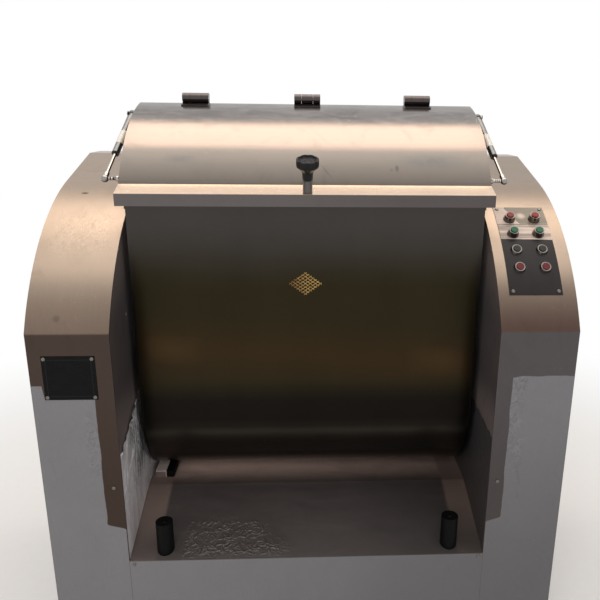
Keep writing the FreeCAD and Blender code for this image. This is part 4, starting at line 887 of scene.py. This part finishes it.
def front_film(name, side, material):
    """Film on a housing's flat front: an even sheet with a wavy torn edge beside the bare strip.

    Its distance from the sheet is the lift, plus the creases, faded to nothing at its rim.
    """
    film = settings("mixer_film")
    low_corner, high_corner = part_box(side + "_housing_shell")
    sign = -1 if side == "left" else 1
    outer = max(abs(low_corner.x), abs(high_corner.x)) - 0.0006
    inner = min(abs(low_corner.x), abs(high_corner.x)) + 0.0006
    strip = 0.485 if side == "left" else 0.478
    high = film.left_top if side == "left" else film.right_top

    def inner_edge(z):
        wide = smooth_step(z, film.strip_low - 0.012, film.strip_low + 0.004)
        edge = inner + (strip - inner) * wide
        return edge + wide * ripple(z, 11 + sign, 0.16, 0.0016)

    def top_wave(x):
        if side == "left":
            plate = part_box("nameplate")[0].x
            return film.left_rise * smooth_step(-x, -plate + 0.001, -plate + 0.006)
        return ripple(x, 5, 0.09, 0.0014) - 0.004 * smooth_step(-x, -0.50, -0.478)

    a, z, rim = film_grid(300, 60, low_corner.z + 0.0005, high,
                          inner_edge, lambda b: np.full_like(b, outer),
                          lambda a: top_wave(sign * a))
    near = (inner, outer, 0.06, 0.80)
    relief = creases(a, z, 3 + sign, 110, near, 0.05, 0.0022, film.crease)
    relief += creases(a, z, 7 + sign, 60, (strip - 0.01, strip + 0.04, 0.40, 0.78), 0.02, 0.0014,
                      film.crease * 1.6)
    y = low_corner.y - film.lift * 0.4 - rim * (film.lift + relief)
    return surface(name, "root", np.stack([sign * a, y, z], axis=-1), material,
                   outward=(0.0, -1.0, 0.0))


def wall_film(name, side, material, top_front, slope, height):
    """Film on an inner wall beside the trough, loose and curled along its sloping top edge."""
    film = settings("mixer_film")
    panel_low, panel_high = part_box(side + "_inner_panel")
    tray_low, tray_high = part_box("drip_tray")
    sign = -1 if side == "left" else 1
    wall = min(abs(panel_low.x), abs(panel_high.x))
    t, s = np.meshgrid(np.linspace(0, 1, 120), np.linspace(0, 1, 120), indexing="ij")
    reach = 0.40
    y = panel_low.y + 0.001 + s * reach
    rise = np.clip(s * reach / TRAY_SLOPE, 0, 1)
    tray = tray_low.z + 0.004 + (tray_high.z - tray_low.z) * rise
    edge = top_front + slope * (y - panel_low.y) + ripple(y, 21 + sign, 0.05, 0.004)
    z = tray + t * (edge - tray)
    relief = creases(y, z, 31 + sign, 90, (panel_low.y, panel_low.y + 0.25, 0.45, 0.68), 0.05,
                     0.004, height)
    curl = smooth_step(t, 0.93, 1.0) * height * 2.2 * (1 + ripple(y, 9, 0.03, 0.6))
    rim = np.clip(np.minimum(s, 1 - s) * 40, 0, 1)
    x = wall - film.lift - rim * (relief + np.maximum(curl, 0))
    return surface(name, "root", np.stack([sign * x, y, z], axis=-1), material,
                   outward=(-sign, 0.0, 0.0))


def tray_film(name, material):
    """Crumpled film on the tray's front left slope: its creases are closer near the front.

    They fade out towards its other three edges, so that the film lies flat there.
    """
    film = settings("mixer_film")
    low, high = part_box("drip_tray")
    t, s = np.meshgrid(np.linspace(0, 1, 280), np.linspace(0, 1, 330), indexing="ij")
    y = low.y + 0.002 + t * 0.20
    right = -0.01 - 0.15 * t + ripple(t, 41, 0.5, 0.012)
    left = -0.328 + ripple(t, 43, 0.4, 0.006)
    x = left + s * (right - left)
    slope = (high.z - low.z - 0.002) / TRAY_SLOPE
    base = low.z + 0.002 + (y - low.y) * slope
    area = (-0.33, -0.01, low.y, low.y + 0.11)
    relief = creases(x, y, 51, 700, area, 0.010, 0.0015, film.crease * 1.15)
    relief += creases(x, y, 53, 200, (-0.33, -0.16, low.y, low.y + 0.19), 0.012, 0.0014,
                      film.crease * 0.7)
    rim = np.clip(np.minimum(s * 9, (1 - s) * 4), 0, 1) * np.clip(t * 12, 0, 1)
    rim = rim * (1 - smooth_step(t, 0.45, 1.0))
    z = base + film.lift * 0.4 + rim * (film.lift * 0.5 + relief)
    return surface(name, "root", np.stack([x, y, z], axis=-1), material,
                   outward=(0.0, 0.0, 1.0))


class MIXER_OT_films(Operator):
    """Protective films on the fronts, the inner walls and the tray"""

    bl_idname = "mixer.films"
    bl_label = "Protective films"

    def execute(self, context):
        film = settings("mixer_film")
        grey = film_material("grey_film", film.colour, 0.30, 0.0, 1.0)
        dress(grey, "front_base_panel")
        for side in ("left", "right"):
            front_film(side + "_front_film", side, grey)
        wall = wall_film_material("wall_film", (0.62, 0.60, 0.61))
        wall_film("left_wall_film", "left", wall, 0.600, 0.46, 0.0016)
        dull = film_material("dull_film", (0.06, 0.055, 0.055), 0.30, 0.3, 0.6)
        wall_film("right_wall_film", "right", dull, 0.629, 0.10, 0.0004)
        # The crumpled film takes the tray's colours, painted light and shade included.
        crumpled = brushed("crumpled_film", tray_colour, (60.0, 60.0, 60.0), 0.30, 0.6, 0.2)
        tray_film("tray_film", crumpled)
        return {"FINISHED"}


def foil_strips(centre, half_width, half_height, count, thickness):
    """Woven strips in a diamond, each along one side's direction.

    A strip's height is a cosine, so it passes over one crossing strip and under the next.
    """
    place = (np.arange(count) + 0.5) / count * 2 - 1
    along = np.linspace(-1, 1, 12 * count)
    across = np.array((-1.0, -0.8, 0.8, 1.0)) * 0.25 / count
    lift = np.array((0.0, 1.0, 1.0, 0.0)) * thickness
    strips = []
    for way in (0, 1):
        for index, middle in enumerate(place):
            wave = 0.5 + 0.5 * np.cos(np.pi * (count * (along + 1) / 2 - 0.5 + index + way))
            u, v = (along[:, None], middle + across[None, :])
            if way:
                u, v = v, u
            u, v = np.broadcast_arrays(u, v)
            x = centre[0] + (u - v) / 2 * half_width
            z = centre[2] + (u + v) / 2 * half_height
            y = centre[1] - (lift[None, :] + wave[:, None] * thickness)
            strips.append(np.stack([x, y, z], axis=-1))
    return np.array(strips)


def foil_material(colour):
    """Gold foil rubbed down to its dark red-brown primer in places, more so at its left."""
    finish = Finish("gold_foil", {"Metallic": 0.8})
    place = finish.place()
    x = finish.axes(place)[0]
    worn = finish.cloud(place, 210.0, 4.0, 0.65)
    primer = finish.step(worn + finish.step(x, 0.01, -0.045) * 0.16, 0.50, 0.66)
    foil = finish.tint(colour, 0.6 + finish.cloud(place, 90.0) * 0.9)
    foil = finish.mix(primer * 0.8, foil, (0.10, 0.03, 0.015))
    return finish.show(foil, 0.28 + worn * 0.2, worn, 0.0001)


class MIXER_OT_foil(Operator):
    """Woven gold foil on the trough's front"""

    bl_idname = "mixer.foil"
    bl_label = "Woven foil"

    def execute(self, context):
        trim = settings("mixer_trim")
        front = joint("trough_tilt")["pos_m"][1] - TROUGH_RADIUS
        gold = foil_material(trim.foil_colour)
        strips = foil_strips((-0.006, front, 0.975), trim.foil_width / 2, trim.foil_height / 2,
                             trim.foil_strips, 0.0003)
        surface("woven_foil", "trough", strips, gold, outward=(0.0, -1.0, 0.0))
        return {"FINISHED"}


class MIXER_OT_spring_labels(Operator):
    """Blank paper labels round the gas springs"""

    bl_idname = "mixer.spring_labels"
    bl_label = "Gas spring labels"

    def execute(self, context):
        trim = settings("mixer_trim")
        paper = speckled("label_paper", (0.56, 0.52, 0.46), 0.4, 260.0, 0.00005,
                         {"Coat Weight": 0.3, "Coat Roughness": 0.3})
        for side in ("left", "right"):
            start = joint(side + "_strut_swing")["pos_m"]
            direction = joint(side + "_strut_slide")["axis"]
            heights = trim.label_start + np.linspace(0, trim.label_length, 24)
            radii = np.full(24, 0.0092)
            radii[[0, -1]] -= 0.0002
            points = turned(start, direction, heights, radii, 48)
            surface(side + "_spring_label", side + "_strut_tube", points, paper, around=True)
        return {"FINISHED"}


class MIXER_OT_knob(Operator):
    """Lobed latch knob with a dished top"""

    bl_idname = "mixer.knob"
    bl_label = "Latch knob"

    def execute(self, context):
        trim = settings("mixer_trim")
        turn = joint("latch_turn")
        # Height above the latch's pivot and radius: neck, flare, head and dished top.
        profile = np.array([
            (0.0305, 0.0052), (0.0305, 0.0112), (0.0330, 0.0116), (0.0400, 0.0119),
            (0.0460, 0.0124), (0.0510, 0.0136), (0.0550, 0.0166), (0.0595, 0.0222),
            (0.0635, 0.0258), (0.0700, 0.0268), (0.0760, 0.0265), (0.0790, 0.0255),
            (0.0802, 0.0235), (0.0798, 0.0214), (0.0765, 0.0198), (0.0738, 0.0158),
            (0.0730, 0.0090), (0.0742, 0.0072), (0.0746, 0.0040), (0.0747, 0.0)])
        steps = np.linspace(0, len(profile) - 1, 110)
        heights = np.interp(steps, np.arange(len(profile)), profile[:, 0])
        radii = np.interp(steps, np.arange(len(profile)), profile[:, 1])
        angle = np.linspace(0, 2 * np.pi, 192, endpoint=False)
        lobed = smooth_step(radii, 0.0165, 0.0235)[:, None]
        wave = np.abs(np.sin(angle * trim.knob_lobes / 2))[None, :] ** 0.6
        wide = radii[:, None] * (1 - 0.13 * lobed * (1 - wave))
        points = turned(turn["pos_m"], turn["axis"], heights, wide, 192)
        black = speckled("knob_plastic", (0.006, 0.006, 0.007), 0.42, 600.0, 0.00008,
                         {"Specular IOR Level": 0.2})
        piece = surface("latch_knob_moulding", "latch", points, black, around=True, weld=True)
        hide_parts("latch_knob")
        return {"FINISHED"}


def stage_floor(half_size):
    """Pale floor that keeps the machine's shadow and turns into plain white far away."""
    finish = Finish("studio_floor", {"Roughness": 0.7, "Specular IOR Level": 0.2})
    place = finish.place()
    grain = finish.cloud(place, 35.0, 3.0)
    colour = finish.tint((0.88, 0.88, 0.88), 0.98 + grain * 0.04)
    finish.show(colour, 0.65 + grain * 0.1, grain, 0.0002)
    distance = finish.node("ShaderNodeVectorMath", {"operation": "LENGTH"}, {0: place}, 1)
    white = finish.node("ShaderNodeEmission", {}, {"Strength": 1.0})
    far = finish.step(distance, 0.9, 2.6)
    near = Signal(finish, finish.shader.outputs[0])
    blend = finish.node("ShaderNodeMixShader", {}, {0: far, 1: near, 2: white})
    finish.feed(finish.nodes["Material Output"].inputs["Surface"], blend)
    axis = np.linspace(-half_size, half_size, 9)
    x, y = np.meshgrid(axis, axis, indexing="ij")
    points = np.stack([x, y, np.full_like(x, -0.0005)], axis=-1)
    floor = surface("studio_floor", None, points, finish.material, outward=(0.0, 0.0, 1.0))


def softbox(name, place, size, brightness, colour, tilt=0.0):
    """Rectangular soft light of an even brightness, hidden from the camera.

    It faces straight down, or forwards by a tilt from that.
    """
    lamp = bpy.data.lights.new(name, "AREA")
    lamp.shape = "RECTANGLE"
    lamp.size, lamp.size_y = size
    lamp.energy = brightness * math.pi * size[0] * size[1]
    lamp.color = colour
    holder = bpy.data.objects.new(name, lamp)
    bpy.context.collection.objects.link(holder)
    holder.location = place
    holder.rotation_euler = (tilt, 0.0, 0.0)
    holder.visible_camera = False
    return holder


def surroundings(level):
    """White to the camera and in reflections, and a softer level as light."""
    world = bpy.data.worlds.new("studio")
    sky = Recipe(world)
    seen = sky.node("ShaderNodeLightPath", {}, {}, "Is Camera Ray")
    shown = seen
    for ray in ("Is Glossy Ray", "Is Transmission Ray"):
        shown = sky.maths("MAXIMUM", shown, sky.sibling(seen, ray))
    strength = sky.node("ShaderNodeMapRange", {}, {"Value": shown, "To Min": level, "To Max": 1.0})
    background = sky.nodes["Background"]
    sky.feed(background.inputs["Color"], (1.0, 1.0, 1.0))
    sky.feed(background.inputs["Strength"], strength)
    bpy.context.scene.world = world


def camera_matrix(place, pitch, yaw, roll):
    """Camera turned from looking along +Y by a yaw, a pitch downwards and a roll."""
    forward = Vector((math.sin(yaw) * math.cos(pitch), math.cos(yaw) * math.cos(pitch),
                      -math.sin(pitch)))
    right = Vector((math.cos(yaw), -math.sin(yaw), 0.0))
    up = right.cross(forward)
    rolled_right = right * math.cos(roll) + up * math.sin(roll)
    rolled_up = up * math.cos(roll) - right * math.sin(roll)
    columns = Matrix((rolled_right, rolled_up, -forward)).transposed()
    return Matrix.Translation(place) @ columns.to_4x4()


class MIXER_OT_stage(Operator):
    """Floor, surroundings, soft lights and the camera"""

    bl_idname = "mixer.stage"
    bl_label = "Stage"

    def execute(self, context):
        stage = settings("mixer_stage")
        stage_floor(9.0)
        surroundings(stage.room)
        warm = (1.0, 0.88, 0.76)
        ceiling = 3.4
        softbox("lid_softbox", (0.0, 0.505, ceiling), (2.1, 1.11), stage.lid_light, warm)
        for side, x in (("left", -1.5), ("right", 1.5)):
            softbox(side + "_softbox", (x, 0.57, ceiling), (0.9, 1.26), stage.side_light, warm)
        softbox("front_softbox", (0.0, -0.75, ceiling), (3.9, 1.38), stage.front_light,
                (1.0, 0.94, 0.88))
        fill = softbox("front_fill", (-0.5, -3.2, 2.2), (2.0, 1.6), stage.fill, (1.0, 0.98, 0.97),
                       math.radians(62.0))
        fill.visible_glossy = False
        lens = bpy.data.cameras.new("camera")
        lens.lens = stage.lens
        lens.sensor_width = 36.0
        lens.shift_x = stage.shift
        holder = bpy.data.objects.new("camera", lens)
        context.collection.objects.link(holder)
        holder.matrix_world = camera_matrix(stage.camera, stage.pitch, stage.yaw, stage.roll)
        context.scene.camera = holder
        context.scene.view_settings.view_transform = "Standard"
        return {"FINISHED"}


OPERATORS = (MIXER_OT_stage, MIXER_OT_sheets, MIXER_OT_machinery, MIXER_OT_plastics,
             MIXER_OT_films, MIXER_OT_foil, MIXER_OT_spring_labels, MIXER_OT_knob)
GROUPS = {"mixer_steel": SteelSettings, "mixer_film": FilmSettings,
          "mixer_trim": TrimSettings, "mixer_stage": StageSettings}


class MIXER_PT_panel(Panel):
    """Values and steps of the dough mixer's looks"""

    bl_idname = "MIXER_PT_panel"
    bl_label = "Dough Mixer"
    bl_space_type = "VIEW_3D"
    bl_region_type = "UI"
    bl_category = "Dough Mixer"

    def draw(self, context):
        for group in GROUPS:
            box = self.layout.box()
            values = getattr(context.scene, group)
            for name in values.bl_rna.properties.keys():
                if name not in ("rna_type", "name"):
                    box.prop(values, name)
        for operator in OPERATORS:
            self.layout.operator(operator.bl_idname)


def register():
    """Register the groups, the steps and the panel."""
    for name, group in GROUPS.items():
        bpy.utils.register_class(group)
        setattr(bpy.types.Scene, name, PointerProperty(type=group))
    for one in (*OPERATORS, MIXER_PT_panel):
        bpy.utils.register_class(one)


def unregister():
    """Remove what register added."""
    for one in (MIXER_PT_panel, *reversed(OPERATORS)):
        bpy.utils.unregister_class(one)
    for name, group in reversed(GROUPS.items()):
        delattr(bpy.types.Scene, name)
        bpy.utils.unregister_class(group)


def main():
    """Dress the mixer and set the stage."""
    register()
    for operator in OPERATORS:
        family, name = operator.bl_idname.split(".")
        getattr(getattr(bpy.ops, family), name)()


if __name__ == "__main__":
    main()
